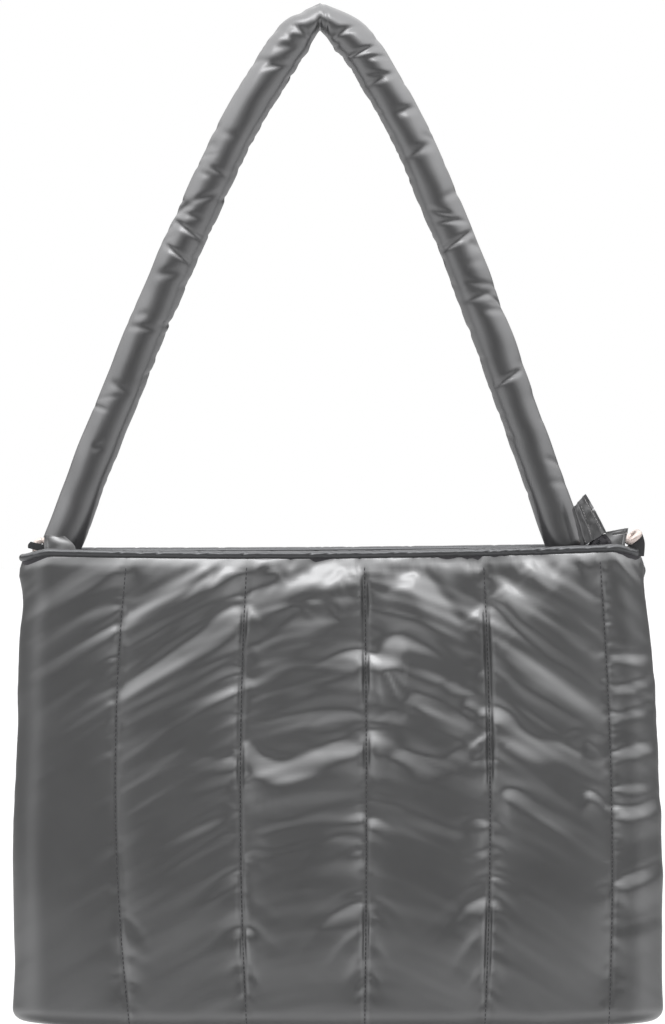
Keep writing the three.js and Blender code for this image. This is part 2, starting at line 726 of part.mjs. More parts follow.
function addPiece(name, geometry, material, x = 0, y = 0, z = 0, turn = 0) {
  const mesh = new THREE.Mesh(geometry, material);
  mesh.name = name;
  mesh.position.set(x, y, z);
  mesh.rotation.z = turn;
  bag.add(mesh);
  return mesh;
}

const frontWall = {
  behind: false,
  channelColumns: CHANNEL_COLUMNS,
  wallRows: WALL_ROWS,
  folds: FRONT_FOLDS,
};
const backWall = {
  behind: true,
  channelColumns: BACK_CHANNEL_COLUMNS,
  wallRows: BACK_WALL_ROWS,
  folds: BACK_FOLDS,
};
addPiece('front_panel', quiltedWall(frontWall), shell);
addPiece('back_panel', quiltedWall(backWall), shell);
addPiece('mouth_piping', mouthPiping(), trim);

const tapeEdge = COIL_WIDTH / 2 + GAP + COIL_RIPPLE;
const coilSteps = 2 * Math.round((zipEnd('left') + zipEnd('right')) / COIL_PITCH);
const frontTape = zipStrip(TAPE_STEPS, -zipHalfDepth(), -tapeEdge, 0, TAPE_THICKNESS, 0);
const backTape = zipStrip(TAPE_STEPS, tapeEdge, zipHalfDepth(), 0, TAPE_THICKNESS, 0);
const coilBottom = (TAPE_THICKNESS - COIL_HEIGHT) / 2;
const coilTop = coilBottom + COIL_HEIGHT;
const coilEdge = COIL_WIDTH / 2;
addPiece('zip_tape_front', frontTape, tape);
addPiece('zip_tape_back', backTape, tape);
const teeth = zipStrip(coilSteps, -coilEdge, coilEdge, coilBottom, coilTop, COIL_RIPPLE);
addPiece('zip_teeth', teeth, coil);
const sliderX = -zipEnd('left') + GAP;
addPiece('zip_slider', zipSlider(), metal, sliderX, 0, zipLevel(sliderX + SLIDER_LENGTH) + coilTop + GAP);

const tailDepth = tabDepth - RING_WIRE / 2 - GAP - TAIL_WIDTH / 2;
const tailX = rightMouthEnd - TAIL_INSET;
const tailLevel = zipLevel(tailX) + coilTop + GAP;
addPiece('zip_tail', zipTail(), tape, tailX, tailDepth, tailLevel);
const tailTabX = tailX - TAIL_TAB_SHIFT;
addPiece('zip_tail_tab', zipTailTab(), shell, tailTabX, tailDepth, tailLevel + TAIL_TAB_RISE);

addPiece('shoulder_strap', shoulderStrap(), shell);
addPiece('ring_left', ringGeometry(), metal, leftRingX, tabDepth, leftRingZ);
addPiece('ring_right', ringGeometry(), metal, rightRingX, tabDepth, rightRingZ);
const leftTab = strapTab(STRAP_TAB_LENGTH_LEFT);
const rightTab = strapTab(STRAP_TAB_LENGTH_RIGHT);
addPiece('strap_tab_left', leftTab, shell, leftRingX + ringWireOffset, tabDepth, leftRingZ);
addPiece('strap_tab_right', rightTab, shell, rightRingX - ringWireOffset, tabDepth, rightRingZ, Math.PI);
addPiece('side_tab_left', sideTab(), trim, leftRingX - ringWireOffset, tabDepth, leftRingZ, Math.PI);
addPiece('side_tab_right', overTab(), trim, rightRingX + ringWireOffset, tabDepth, rightRingZ);

// The origin is under the fold of the strap
bag.position.set(-FOLD_SHIFT, -STRAP_OFFSET, FOLD_HEIGHT / 2 - foldLevel);
const group = new THREE.Group();
group.add(bag);

export default group;
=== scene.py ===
import math
import random

import bmesh
import bpy
import numpy as np
from mathutils import Matrix, Vector, noise


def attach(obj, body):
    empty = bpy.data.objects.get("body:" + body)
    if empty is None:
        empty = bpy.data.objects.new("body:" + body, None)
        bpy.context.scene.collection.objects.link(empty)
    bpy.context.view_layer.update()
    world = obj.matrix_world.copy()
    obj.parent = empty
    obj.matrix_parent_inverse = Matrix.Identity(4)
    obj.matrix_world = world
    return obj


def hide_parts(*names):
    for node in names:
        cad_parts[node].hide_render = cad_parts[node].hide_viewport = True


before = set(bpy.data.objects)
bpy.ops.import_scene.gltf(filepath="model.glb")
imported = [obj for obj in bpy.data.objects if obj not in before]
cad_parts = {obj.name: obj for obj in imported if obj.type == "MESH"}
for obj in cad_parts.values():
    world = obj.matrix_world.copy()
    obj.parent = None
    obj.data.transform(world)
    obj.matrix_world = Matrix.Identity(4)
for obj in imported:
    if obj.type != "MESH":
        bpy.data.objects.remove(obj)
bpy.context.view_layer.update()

# Camera
# The bag is seen square from the front, from far enough away for its sides to stay straight.
# Places in the photo are in its own pixels, and turn into metres by the bag's known width.
MM = 0.001
PHOTO_WIDTH = 665
PHOTO_HEIGHT = 1024
METRES_PER_PIXEL = 0.400 / 650
BASE_ROW = 1020
HOOK_COLUMN = 320
HOOK_RISE = 607.5 * MM
CAMERA_DISTANCE = 3.2
SENSOR = 36


def from_photo(column, row):
    """Where a pixel of the photo lies on the upright plane through the hook."""
    return (column - HOOK_COLUMN) * METRES_PER_PIXEL, (BASE_ROW - row) * METRES_PER_PIXEL - HOOK_RISE


camera_data = bpy.data.cameras.new("camera")
camera = bpy.data.objects.new("camera", camera_data)
bpy.context.scene.collection.objects.link(camera)
camera_x, camera_z = from_photo(PHOTO_WIDTH / 2, PHOTO_HEIGHT / 2)
camera.location = (camera_x, -CAMERA_DISTANCE, camera_z)
camera.rotation_euler = (math.pi / 2, 0, 0)
camera_data.sensor_width = SENSOR
camera_data.lens = SENSOR * CAMERA_DISTANCE / (PHOTO_HEIGHT * METRES_PER_PIXEL)
camera_data.clip_end = 100
bpy.context.scene.camera = camera
bpy.context.scene.view_settings.view_transform = "Standard"

# Front wall
# A padded nylon wall, stitched upright into six channels and gathered under the piping. It wraps
# to the middle of both sides and under the base, where it meets the back wall.
CENTRE_X = 10.5 * MM
CENTRE_Y = -2.7 * MM
BASE_Z = -HOOK_RISE
HALF_WIDTH = 200.5 * MM
BODY_HEIGHT = 287 * MM
BASE_DEPTH = 64 * MM
MOUTH_DEPTH = 46 * MM
DEPTH_EASE = 0.25
SEAM_GAP = 0.15 * MM
CORNER_RADIUS = 24 * MM
BASE_RADIUS = 9 * MM
CROWN = 10 * MM
STITCH_THICKNESS = 5.6 * MM
RIM_THICKNESS = 4 * MM
RIM_RISE = 26 * MM
BASE_STITCH_THICKNESS = 9.4 * MM
FRONT_SAG = 3.4 * MM
BACK_SAG = 1.2 * MM
MOUTH_TILT = 1.6 * MM
END_DIP = 4 * MM
TOP_PUFF = 5 * MM
TOP_PUFF_REACH = 48 * MM
LOW_TUCK = 7 * MM
LOW_TUCK_REACH = 95 * MM
SWELL_POWER = 3
CHANNEL_WIDTH = 75 * MM
HELD_REACH = 2.8 * MM
BASE_FADE = 34 * MM
RIM_TUCK = 2.8 * MM
RIM_TUCK_REACH = 4 * MM
RIM_GROOVE = 1.9 * MM
RIM_GROOVE_REACH = 2.4 * MM
CLOTH_STEP = 1.8 * MM

# Share of the height, and shares of the half width to the left and to the right
SIDE_OUTLINE = (
    (0.0, 0.994, 1.0),
    (0.35, 1.0, 0.997),
    (0.58, 0.992, 0.988),
    (0.8, 0.991, 0.972),
    (1.0, 0.972, 0.936),
)

# Upright stitch lines: shares of the half width at the mouth, at mid height and at the base
STITCH_LINES = (
    (-0.640, -0.674, -0.631),
    (-0.274, -0.294, -0.275),
    (0.083, 0.089, 0.084),
    (0.445, 0.465, 0.449),
    (0.799, 0.834, 0.827),
)

# Folds of the front in pixels of the photo: points along the middle of the face that looks up, the
# width of that face, and how steep it is at the first and at the last point
FRONT_FOLDS = (
    (((224, 562), (205, 582), (178, 608), (128, 632)), 9, 0.30, 0.16),
    (((206, 562), (188, 573), (136, 600)), 7, 0.20, 0.14),
    (((232, 563), (219, 582), (197, 614), (176, 640)), 10, 0.16, 0.10),
    (((246, 606), (230, 617), (208, 639), (176, 662), (148, 682), (123, 700)), 15, 0.42, 0.14),
    (((244, 660), (237, 661), (229, 665)), 5, 0.34, 0.16),
    (((243, 675), (224, 686), (197, 698), (170, 712)), 11, 0.42, 0.10),
    (((242, 714), (225, 720), (207, 731)), 9, 0.32, 0.12),
    (((240, 760), (223, 762), (192, 759)), 9, 0.26, 0.06),
    (((272, 562), (266, 570), (257, 579)), 7, 0.24, 0.12),
    (((337, 562), (312, 573), (293, 590)), 15, 0.42, 0.30),
    (((284, 565), (279, 588), (264, 602), (248, 612)), 13, 0.14, 0.14),
    (((346, 568), (332, 592), (303, 625), (272, 652), (249, 669)), 20, 0.30, 0.18),
    (((364, 652), (343, 661), (319, 673), (289, 685)), 14, 0.44, 0.12),
    (((364, 692), (357, 693), (348, 696)), 7, 0.20, 0.08),
    (((311, 728), (335, 722), (360, 727)), 10, 0.08, 0.08),
    (((252, 746), (259, 760), (279, 768), (303, 763), (335, 749), (365, 735)), 13, 0.30, 0.40),
    (((367, 657), (380, 660), (391, 650), (404, 640), (421, 652), (437, 666), (458, 679)), 15, 0.36, 0.18),
    (((421, 572), (429, 593), (443, 618), (462, 646), (476, 665), (482, 684)), 17, 0.32, 0.14),
    (((416, 694), (429, 703), (449, 714), (470, 727), (479, 741)), 13, 0.26, 0.16),
    (((461, 705), (468, 702), (483, 711)), 6, 0.20, 0.24),
    (((447, 690), (466, 693), (482, 702)), 5, 0.08, 0.14),
    (((367, 732), (385, 736), (400, 741), (414, 748)), 12, 0.42, 0.12),
    (((376, 722), (400, 714), (430, 724)), 9, 0.08, 0.08),
    (((398, 751), (424, 762), (448, 761), (470, 748)), 13, 0.22, 0.22),
    (((485, 760), (476, 765), (461, 776)), 8, 0.22, 0.08),
    (((534, 562), (559, 587), (583, 607), (602, 628)), 14, 0.24, 0.16),
    (((563, 562), (580, 580), (602, 606)), 9, 0.24, 0.16),
    (((506, 587), (527, 611), (551, 630), (580, 646), (603, 660)), 13, 0.26, 0.26),
    (((487, 608), (500, 625), (516, 646), (540, 665), (567, 682), (591, 703), (603, 724)), 16, 0.44, 0.16),
    (((487, 670), (500, 685), (519, 703), (540, 715)), 10, 0.40, 0.08),
    (((488, 707), (502, 717), (512, 733), (532, 745), (559, 752), (583, 765), (604, 768)), 14, 0.40, 0.26),
    (((562, 735), (577, 728), (594, 728)), 5, 0.12, 0.14),
    (((586, 740), (593, 748), (603, 761)), 5, 0.22, 0.22),
    (((488, 757), (499, 764), (514, 773)), 7, 0.38, 0.08),
    (((503, 789), (515, 790), (530, 797)), 10, 0.14, 0.08),
    (((585, 790), (593, 794), (604, 800)), 7, 0.14, 0.12),
    (((241, 790), (223, 791), (203, 797)), 9, 0.12, 0.06),
    (((243, 800), (233, 802), (220, 807)), 5, 0.34, 0.10),
    (((243, 820), (237, 821), (229, 823)), 4, 0.34, 0.10),
    (((243, 828), (220, 839), (202, 850)), 7, 0.14, 0.06),
    (((243, 868), (222, 882), (202, 895)), 10, 0.30, 0.08),
    (((243, 889), (224, 903), (207, 916)), 9, 0.26, 0.08),
    (((244, 924), (224, 940), (204, 957)), 12, 0.30, 0.08),
    (((245, 960), (237, 967), (229, 978)), 7, 0.32, 0.10),
    (((246, 850), (262, 850), (280, 850)), 9, 0.14, 0.08),
    (((246, 858), (254, 864), (264, 873)), 8, 0.26, 0.08),
    (((255, 828), (266, 822), (280, 816)), 8, 0.08, 0.08),
    (((250, 900), (266, 912), (283, 926)), 8, 0.14, 0.06),
    (((247, 924), (260, 936), (276, 951)), 9, 0.30, 0.08),
    (((247, 970), (253, 978), (261, 991)), 6, 0.32, 0.10),
    (((365, 803), (355, 806), (342, 811)), 5, 0.20, 0.08),
    (((365, 812), (355, 815), (342, 819)), 6, 0.42, 0.12),
    (((365, 834), (336, 841), (302, 871)), 12, 0.18, 0.12),
    (((365, 847), (354, 851), (342, 858)), 5, 0.40, 0.10),
    (((365, 890), (335, 907), (309, 926)), 11, 0.18, 0.10),
    (((364, 902), (335, 920), (306, 958)), 13, 0.32, 0.12),
    (((363, 929), (345, 948), (333, 966)), 9, 0.36, 0.10),
    (((364, 964), (355, 973), (347, 982)), 7, 0.34, 0.10),
    (((367, 818), (378, 822), (394, 832)), 7, 0.44, 0.12),
    (((367, 842), (380, 846), (394, 852)), 8, 0.14, 0.06),
    (((367, 899), (385, 908), (404, 928)), 9, 0.22, 0.10),
    (((370, 912), (380, 922), (392, 938)), 9, 0.30, 0.10),
    (((368, 944), (376, 952), (385, 965)), 8, 0.30, 0.10),
    (((368, 972), (374, 980), (380, 990)), 6, 0.32, 0.10),
    (((486, 820), (469, 822), (452, 832)), 8, 0.30, 0.10),
    (((486, 848), (474, 853), (461, 860)), 7, 0.20, 0.08),
    (((487, 873), (478, 877), (467, 884)), 6, 0.22, 0.08),
    (((486, 886), (458, 907), (423, 938)), 10, 0.20, 0.10),
    (((485, 897), (461, 918), (437, 948)), 13, 0.32, 0.12),
    (((486, 931), (469, 954), (452, 978)), 11, 0.34, 0.12),
    (((486, 966), (478, 976), (470, 988)), 7, 0.34, 0.10),
    (((489, 820), (497, 824), (507, 832)), 7, 0.46, 0.14),
    (((490, 843), (499, 850), (509, 860)), 6, 0.28, 0.10),
    (((490, 857), (501, 862), (512, 871)), 6, 0.22, 0.10),
    (((490, 873), (503, 880), (517, 891)), 6, 0.36, 0.12),
    (((490, 895), (500, 904), (514, 919)), 9, 0.26, 0.10),
    (((489, 914), (499, 924), (512, 938)), 9, 0.26, 0.10),
    (((489, 947), (497, 955), (505, 967)), 7, 0.34, 0.10),
    (((505, 790), (527, 799), (555, 814), (586, 819)), 15, 0.22, 0.06),
    (((589, 789), (597, 799), (607, 813)), 6, 0.28, 0.22),
    (((609, 885), (598, 889), (582, 897)), 9, 0.20, 0.06),
    (((605, 655), (632, 658), (655, 654)), 6, 0.26, 0.12),
    (((605, 690), (632, 684), (656, 673)), 7, 0.28, 0.14),
    (((606, 715), (632, 710), (657, 700)), 7, 0.26, 0.14),
    (((607, 753), (634, 748), (657, 740)), 8, 0.30, 0.16),
    (((608, 786), (634, 785), (657, 782)), 6, 0.20, 0.10),
    (((609, 806), (632, 808), (658, 799)), 9, 0.36, 0.30),
    (((611, 882), (630, 875), (659, 863)), 9, 0.30, 0.30),
    (((612, 930), (636, 924), (660, 918)), 7, 0.14, 0.08),
    (((124, 585), (112, 589), (98, 597)), 5, 0.22, 0.08),
    (((123, 603), (108, 609), (88, 618)), 6, 0.22, 0.08),
    (((122, 627), (104, 635), (82, 648)), 6, 0.24, 0.08),
    (((121, 655), (106, 661), (88, 669)), 5, 0.20, 0.08),
    (((120, 688), (104, 694), (86, 702)), 5, 0.18, 0.06),
)


def column_of(rows, place, index):
    """Reads one column of a table at places between its rows."""
    return np.interp(place, [row[0] for row in rows], [row[index] for row in rows])


def smoothstep(value, low, high):
    share = np.clip((value - low) / (high - low), 0, 1)
    return share * share * (3 - 2 * share)


def half_width(z, side):
    return HALF_WIDTH * column_of(SIDE_OUTLINE, z / BODY_HEIGHT, side)


def half_depth(z):
    eased = smoothstep(z, DEPTH_EASE * BODY_HEIGHT, BODY_HEIGHT)
    return (BASE_DEPTH + (MOUTH_DEPTH - BASE_DEPTH) * eased) / 2


def crown_thickness(z):
    return RIM_THICKNESS + (CROWN - RIM_THICKNESS) * smoothstep(BODY_HEIGHT - z, 0, RIM_RISE)


def stitch_x(line, z):
    mouth, middle, base = line
    up = np.clip(z / BODY_HEIGHT, 0, 1)
    bow = 4 * up * (1 - up)
    return HALF_WIDTH * (base + (mouth - base) * up + bow * (middle - (base + mouth) / 2))


def mouth_level(x, y):
    """Height of the mouth's edge, which sags, tilts a little and dips at its ends."""
    end = np.where(x < 0, half_width(BODY_HEIGHT, 1), half_width(BODY_HEIGHT, 2))
    share = np.minimum(np.abs(x) / end, 1)
    deep = smoothstep(y, -MOUTH_DEPTH / 2, MOUTH_DEPTH / 2)
    sag = FRONT_SAG + (BACK_SAG - FRONT_SAG) * deep
    dip = END_DIP * smoothstep(share, 0.9, 1)
    return BODY_HEIGHT + MOUTH_TILT * x / HALF_WIDTH - sag * (1 - share * share) - dip


def wall_section(run, wide, deep, corner):
    """A place on a quarter of the bag's plan, a run of so many metres from the side seam."""
    flank = deep - corner - SEAM_GAP
    turn = corner * math.pi / 2
    angle = np.clip((run - flank) / corner, 0, math.pi / 2)
    on_flank = run <= flank
    past = np.maximum(run - flank - turn, 0)
    x = np.where(on_flank, wide, wide - corner * (1 - np.cos(angle)) - past)
    y = np.where(on_flank, SEAM_GAP + run, deep - corner * (1 - np.sin(angle)))
    return x, y


def channel_knots(columns):
    """Columns of the cloth that lie on the side seams and on the stitch lines."""
    z = BODY_HEIGHT / 2
    turn = CORNER_RADIUS * (math.pi / 2 - 1)
    edge = half_depth(z) - CORNER_RADIUS + turn
    lines = [float(stitch_x(line, z)) for line in STITCH_LINES]
    places = [-half_width(z, 1) - edge, *lines, half_width(z, 2) + edge]
    shares = [(place - places[0]) / (places[-1] - places[0]) for place in places]
    return [round(share * columns) for share in shares]


def wall_surface(across, up, columns):
    """The smooth outer form of a wall, before its channels: places, channel shares and levels."""
    knots = np.array(channel_knots(columns)) / columns
    channel = np.clip(np.searchsorted(knots, across, side="right") - 1, 0, 5)
    share = (across - knots[channel]) / (knots[channel + 1] - knots[channel])
    base_run = BASE_DEPTH / 2 - BASE_RADIUS
    arc_run = BASE_RADIUS * math.pi / 2
    wall_run = BODY_HEIGHT - BASE_RADIUS
    run = up * (base_run + arc_run + wall_run)
    angle = np.clip((run - base_run) / BASE_RADIUS, 0, math.pi / 2)
    past = np.maximum(run - base_run - arc_run, 0)
    z = BASE_RADIUS * (1 - np.cos(angle)) + past
    inset = BASE_RADIUS * (1 - np.sin(angle))
    reach = np.clip(run / base_run, 0, 1)
    deep = SEAM_GAP * 1.01 + (half_depth(z) - inset - SEAM_GAP) * reach
    corner = np.minimum(CORNER_RADIUS, deep - SEAM_GAP)
    lines = np.array([stitch_x(line, z) for line in STITCH_LINES])
    left = half_width(z, 1) - inset
    right = half_width(z, 2) - inset
    full = deep - SEAM_GAP - corner + corner * math.pi / 2 - corner
    left_run = (full + left + lines[0]) * share
    right_run = (full + right - lines[4]) * (1 - share)
    left_x, left_y = wall_section(left_run, left, deep, corner)
    right_x, right_y = wall_section(right_run, right, deep, corner)
    inner = np.clip(channel, 1, 4)
    rows = np.arange(len(z))
    from_line = lines[inner - 1, rows]
    to_line = lines[inner, rows]
    x = np.where(channel == 0, -left_x, np.where(channel == 5, right_x, from_line + (to_line - from_line) * share))
    y = np.where(channel == 0, left_y, np.where(channel == 5, right_y, deep))
    return np.stack([x, -y, z], axis=1), channel, share, run / base_run


def smooth_line(points, steps):
    """A curve through given points, with so many steps between each two."""
    points = np.array(points, dtype=float)
    curve = []
    for i in range(len(points) - 1):
        before = points[max(i - 1, 0)]
        start = points[i]
        end = points[i + 1]
        after = points[min(i + 2, len(points) - 1)]
        for step in range(steps):
            t = step / steps
            bend = 2 * before - 5 * start + 4 * end - after
            twist = 3 * start - before - 3 * end + after
            curve.append(start + 0.5 * ((end - before) * t + bend * t**2 + twist * t**3))
    curve.append(points[-1])
    return np.array(curve)


def fold_profile(below):
    """The section of a fold: a sharp valley, a face that looks up, a round crest and a slow fall."""
    face = smoothstep(below, -0.55, 0.95)
    fall = 1 - smoothstep(below, 0.7, 3.2)
    valley = 0.22 * np.exp(-(((below + 0.66) / 0.3) ** 2))
    return face * fall - valley


FOLD_BREADTH = 1.25


def fold_field(x, z, folds):
    """Lift of all the folds at places on a wall."""
    lift = np.zeros_like(x)
    for points, width, first, last in folds:
        curve = smooth_line([from_photo(*point) for point in points], 5) + (-CENTRE_X, HOOK_RISE)
        wide = FOLD_BREADTH * width * METRES_PER_PIXEL
        reach = 3 * wide
        low = curve.min(axis=0) - reach
        high = curve.max(axis=0) + reach
        close = np.flatnonzero((x > low[0]) & (x < high[0]) & (z > low[1]) & (z < high[1]))
        px = x[close]
        pz = z[close]
        near = np.full_like(px, 1e9)
        share = np.zeros_like(px)
        below = np.zeros_like(px)
        beyond = np.zeros_like(px)
        down = 1 if curve[-1, 0] > curve[0, 0] else -1
        count = len(curve) - 1
        for i in range(count):
            part = curve[i + 1] - curve[i]
            length = np.hypot(*part)
            ahead = part / length
            dx = px - curve[i, 0]
            dz = pz - curve[i, 1]
            t = np.clip((dx * ahead[0] + dz * ahead[1]) / length, 0, 1)
            dx = dx - t * part[0]
            dz = dz - t * part[1]
            gap = np.hypot(dx, dz)
            closer = gap < near
            near = np.where(closer, gap, near)
            share = np.where(closer, (i + t) / count, share)
            below = np.where(closer, down * (dx * ahead[1] - dz * ahead[0]), below)
            beyond = np.where(closer, np.abs(dx * ahead[0] + dz * ahead[1]), beyond)
        spread = wide * np.interp(share, [0, 0.3, 1], [0.55, 1, 0.9])
        steep = np.interp(share, [0, 1], [first, last]) * np.interp(share, [0, 0.08, 0.45, 1], [0.8, 1, 0.8, 0.3])
        ended = np.exp(-((beyond / (0.5 * spread)) ** 2))
        lift[close] += steep * spread * fold_profile(below / spread) * ended
    return lift


def make_puckers(seed, rows):
    """Short puckers that run off the stitch lines, as rows of pixels like the folds."""
    draw = random.Random(seed)
    puckers = []
    for line, side, top, bottom, pitch, reach, slope, steep in rows:
        row = top + draw.uniform(0, pitch)
        while row < bottom:
            z = (BASE_ROW - row) * METRES_PER_PIXEL
            stitch = float(stitch_x(STITCH_LINES[line], z))
            column = HOOK_COLUMN + (stitch + CENTRE_X) / METRES_PER_PIXEL
            long = reach * draw.uniform(0.5, 1.4)
            drop = slope * long * draw.uniform(0.5, 1.4)
            points = (
                (column, row),
                (column + side * long * 0.5, row + drop * 0.42),
                (column + side * long, row + drop),
            )
            puckers.append((points, pitch * draw.uniform(0.28, 0.42), steep * draw.uniform(0.7, 1.7), 0.04))
            row += pitch * draw.uniform(0.6, 1.5)
    return puckers


# Puckers along the stitch lines: line, side, first and last row, pitch and reach in pixels, slope
# down the photo, and steepness
FRONT_PUCKERS = (
    (0, -1, 565, 760, 12, 10, 0.3, 0.30),
    (0, -1, 760, 955, 18, 8, 0.3, 0.20),
    (0, -1, 955, 1012, 9, 14, 0.1, 0.30),
    (0, 1, 565, 955, 14, 6, 0.2, 0.26),
    (0, 1, 900, 1012, 20, 24, 0.9, 0.22),
    (1, -1, 565, 975, 9, 8, 0.35, 0.40),
    (1, 1, 565, 975, 10, 7, 0.3, 0.34),
    (1, -1, 965, 1018, 6, 10, 1.5, 0.60),
    (1, 1, 965, 1018, 6, 10, 1.5, 0.60),
    (2, -1, 565, 975, 10, 8, 0.4, 0.36),
    (2, 1, 565, 975, 11, 7, 0.35, 0.32),
    (2, -1, 950, 1018, 6, 11, 1.5, 0.60),
    (2, 1, 950, 1018, 6, 11, 1.5, 0.60),
    (3, -1, 565, 975, 11, 7, 0.3, 0.32),
    (3, 1, 565, 975, 9, 8, 0.35, 0.40),
    (3, -1, 950, 1018, 6, 11, 1.5, 0.60),
    (3, 1, 950, 1018, 6, 11, 1.5, 0.60),
    (4, -1, 565, 980, 11, 7, 0.25, 0.30),
    (4, 1, 565, 960, 9, 9, -0.05, 0.40),
    (4, -1, 975, 1014, 12, 10, 0.4, 0.24),
    (4, 1, 960, 1014, 9, 12, 0.1, 0.40),
)


GATHER_LEAN = 0.75


def mouth_gathers(x, z, seed):
    """Short gathers that the piping's seam pulls into the top of a wall, leaning outwards."""
    depth = BODY_HEIGHT - z
    start = x - GATHER_LEAN * depth * x / HALF_WIDTH
    wave = np.array([noise.noise(Vector((a * 110, seed, 0))) for a in start])
    fine = np.array([noise.noise(Vector((a * 260, seed + 7, 0))) for a in start])
    patch = np.array([noise.noise(Vector((a * 24, seed + 3, 0))) for a in start])
    strong = smoothstep(x, -0.75 * HALF_WIDTH, -0.1 * HALF_WIDTH) * (0.7 + 0.6 * patch)
    reach = (16 + 12 * patch) * MM
    near = np.exp(-((depth / reach) ** 2))
    nearer = np.exp(-((depth / (9 * MM)) ** 2))
    return strong * (2.3 * wave * near + 1.6 * fine * nearer) * MM


WRINKLE_LEAN = 0.65
WRINKLE_TURN = 80 * MM


def drawn_wrinkles(x, z, seed):
    """Soft wrinkles that fan outwards and down from the middle, strongest below the mouth."""
    across = z + WRINKLE_LEAN * WRINKLE_TURN * np.log(np.cosh(x / WRINKLE_TURN))
    broad = np.array([noise.noise(Vector((a * 70, b * 13, seed))) for a, b in zip(across, x)])
    fine = np.array([noise.noise(Vector((a * 165, b * 32, seed + 2))) for a, b in zip(across, x)])
    high = 0.35 + 0.65 * smoothstep(z, 60 * MM, 220 * MM)
    central = 1 - 0.55 * smoothstep(np.abs(x), 120 * MM, 165 * MM)
    return (1.5 * broad + 0.45 * fine) * high * central * MM


def slow_dents(places, seed):
    """The uneven filling of the channels."""
    scale = 22
    return np.array([noise.noise(Vector((p[0] * scale, seed, p[2] * scale * 0.7))) for p in places]) * 1.1 * MM


def quilted_wall(name, behind, folds, seed):
    """Makes the skin of one wall from a grid, shaped to its channels, folds and gathers."""
    columns = round((2 * HALF_WIDTH + BASE_DEPTH) / CLOTH_STEP)
    rows = round((BODY_HEIGHT + BASE_DEPTH / 2) / CLOTH_STEP)
    skin = bmesh.new()
    bmesh.ops.create_grid(skin, x_segments=columns, y_segments=rows, size=0.5)
    flat = np.array([vertex.co[:2] for vertex in skin.verts]) + 0.5
    across = np.clip(flat[:, 0], 0, 1)
    up = np.clip(flat[:, 1], 0, 1)
    step = 1e-3
    places, channel, share, base_share = wall_surface(across, up, columns)
    ahead = wall_surface(np.clip(across + step, 0, 1), up, columns)[0]
    behind_it = wall_surface(np.clip(across - step, 0, 1), up, columns)[0]
    higher = wall_surface(across, np.clip(up + step, 0, 1), columns)[0]
    lower = wall_surface(across, np.clip(up - step, 0, 1), columns)[0]
    outward = np.cross(ahead - behind_it, higher - lower)
    on_seam = (across < 1e-6) | (across > 1 - 1e-6) | (up < 1e-6)
    outward[on_seam, 1] = 0
    outward /= np.maximum(np.linalg.norm(outward, axis=1), 1e-12)[:, None]
    x, y, z = places.T
    crown = crown_thickness(z)
    swell = 1 - np.abs(2 * share - 1) ** SWELL_POWER
    based = 1 - smoothstep(z, BASE_RADIUS / 2, BASE_FADE)
    at_stitch = STITCH_THICKNESS + (BASE_STITCH_THICKNESS - STITCH_THICKNESS) * based
    at_stitch = np.minimum(at_stitch, crown)
    seam = np.sqrt(np.clip(base_share * BASE_DEPTH / 2 / (14 * MM), 0, 1))
    thickness = at_stitch + (crown * seam - at_stitch) * swell
    thickness = np.maximum(thickness, np.minimum(STITCH_THICKNESS, crown))
    fold = fold_field(x, z, folds) + slow_dents(places, seed) + mouth_gathers(x, z, seed)
    fold += drawn_wrinkles(x, z, seed)
    from_stitch = np.minimum(share, 1 - share) * CHANNEL_WIDTH
    depth = BODY_HEIGHT - z
    held = smoothstep(from_stitch, 0, HELD_REACH) * smoothstep(base_share, 0.2, 1.0) * smoothstep(depth, 0, 2.5 * MM)
    inner = smoothstep(np.abs(x), 0.97 * HALF_WIDTH, 0.6 * HALF_WIDTH)
    puff = TOP_PUFF * (1 - np.clip(1 - depth / TOP_PUFF_REACH, 0, 1) ** 2) * inner * (0.75 + 0.25 * swell)
    tuck = LOW_TUCK * np.clip(1 - z / LOW_TUCK_REACH, 0, 1) ** 2
    places[:, 1] *= 1 - tuck / np.maximum(half_depth(z), 2 * LOW_TUCK)
    rim_groove = RIM_GROOVE * np.exp(-((depth / RIM_GROOVE_REACH) ** 2))
    lift = thickness - crown + puff + fold * held - rim_groove
    places = places + outward * lift[:, None]
    middle = places - outward * (thickness / 2)[:, None]
    rim = smoothstep(z, BODY_HEIGHT - 55 * MM, BODY_HEIGHT)
    turned = -1 if behind else 1
    places[:, 1] *= turned
    places[:, 2] += (mouth_level(middle[:, 0], turned * middle[:, 1]) - BODY_HEIGHT) * rim
    places[:, 2] += RIM_TUCK * smoothstep(z, BODY_HEIGHT - RIM_TUCK_REACH, BODY_HEIGHT)
    places += (CENTRE_X, CENTRE_Y, BASE_Z)
    weave = skin.loops.layers.uv.new("weave")
    cloth_width = 2 * HALF_WIDTH + BASE_DEPTH
    cloth_height = BODY_HEIGHT + BASE_DEPTH / 2
    for vertex, place in zip(skin.verts, places):
        vertex.co = place
    for face in skin.faces:
        for loop in face.loops:
            index = loop.vert.index
            loop[weave].uv = (across[index] * cloth_width, up[index] * cloth_height)
    if behind:
        bmesh.ops.reverse_faces(skin, faces=skin.faces)
    mesh = bpy.data.meshes.new(name)
    skin.to_mesh(mesh)
    skin.free()
    mesh.shade_smooth()
    wall = bpy.data.objects.new(name, mesh)
    bpy.context.scene.collection.objects.link(wall)
    return wall, swell, held


front, front_swell, front_held = quilted_wall(
    "front_quilt", False, FRONT_FOLDS + tuple(make_puckers(3, FRONT_PUCKERS)), 1.3
)


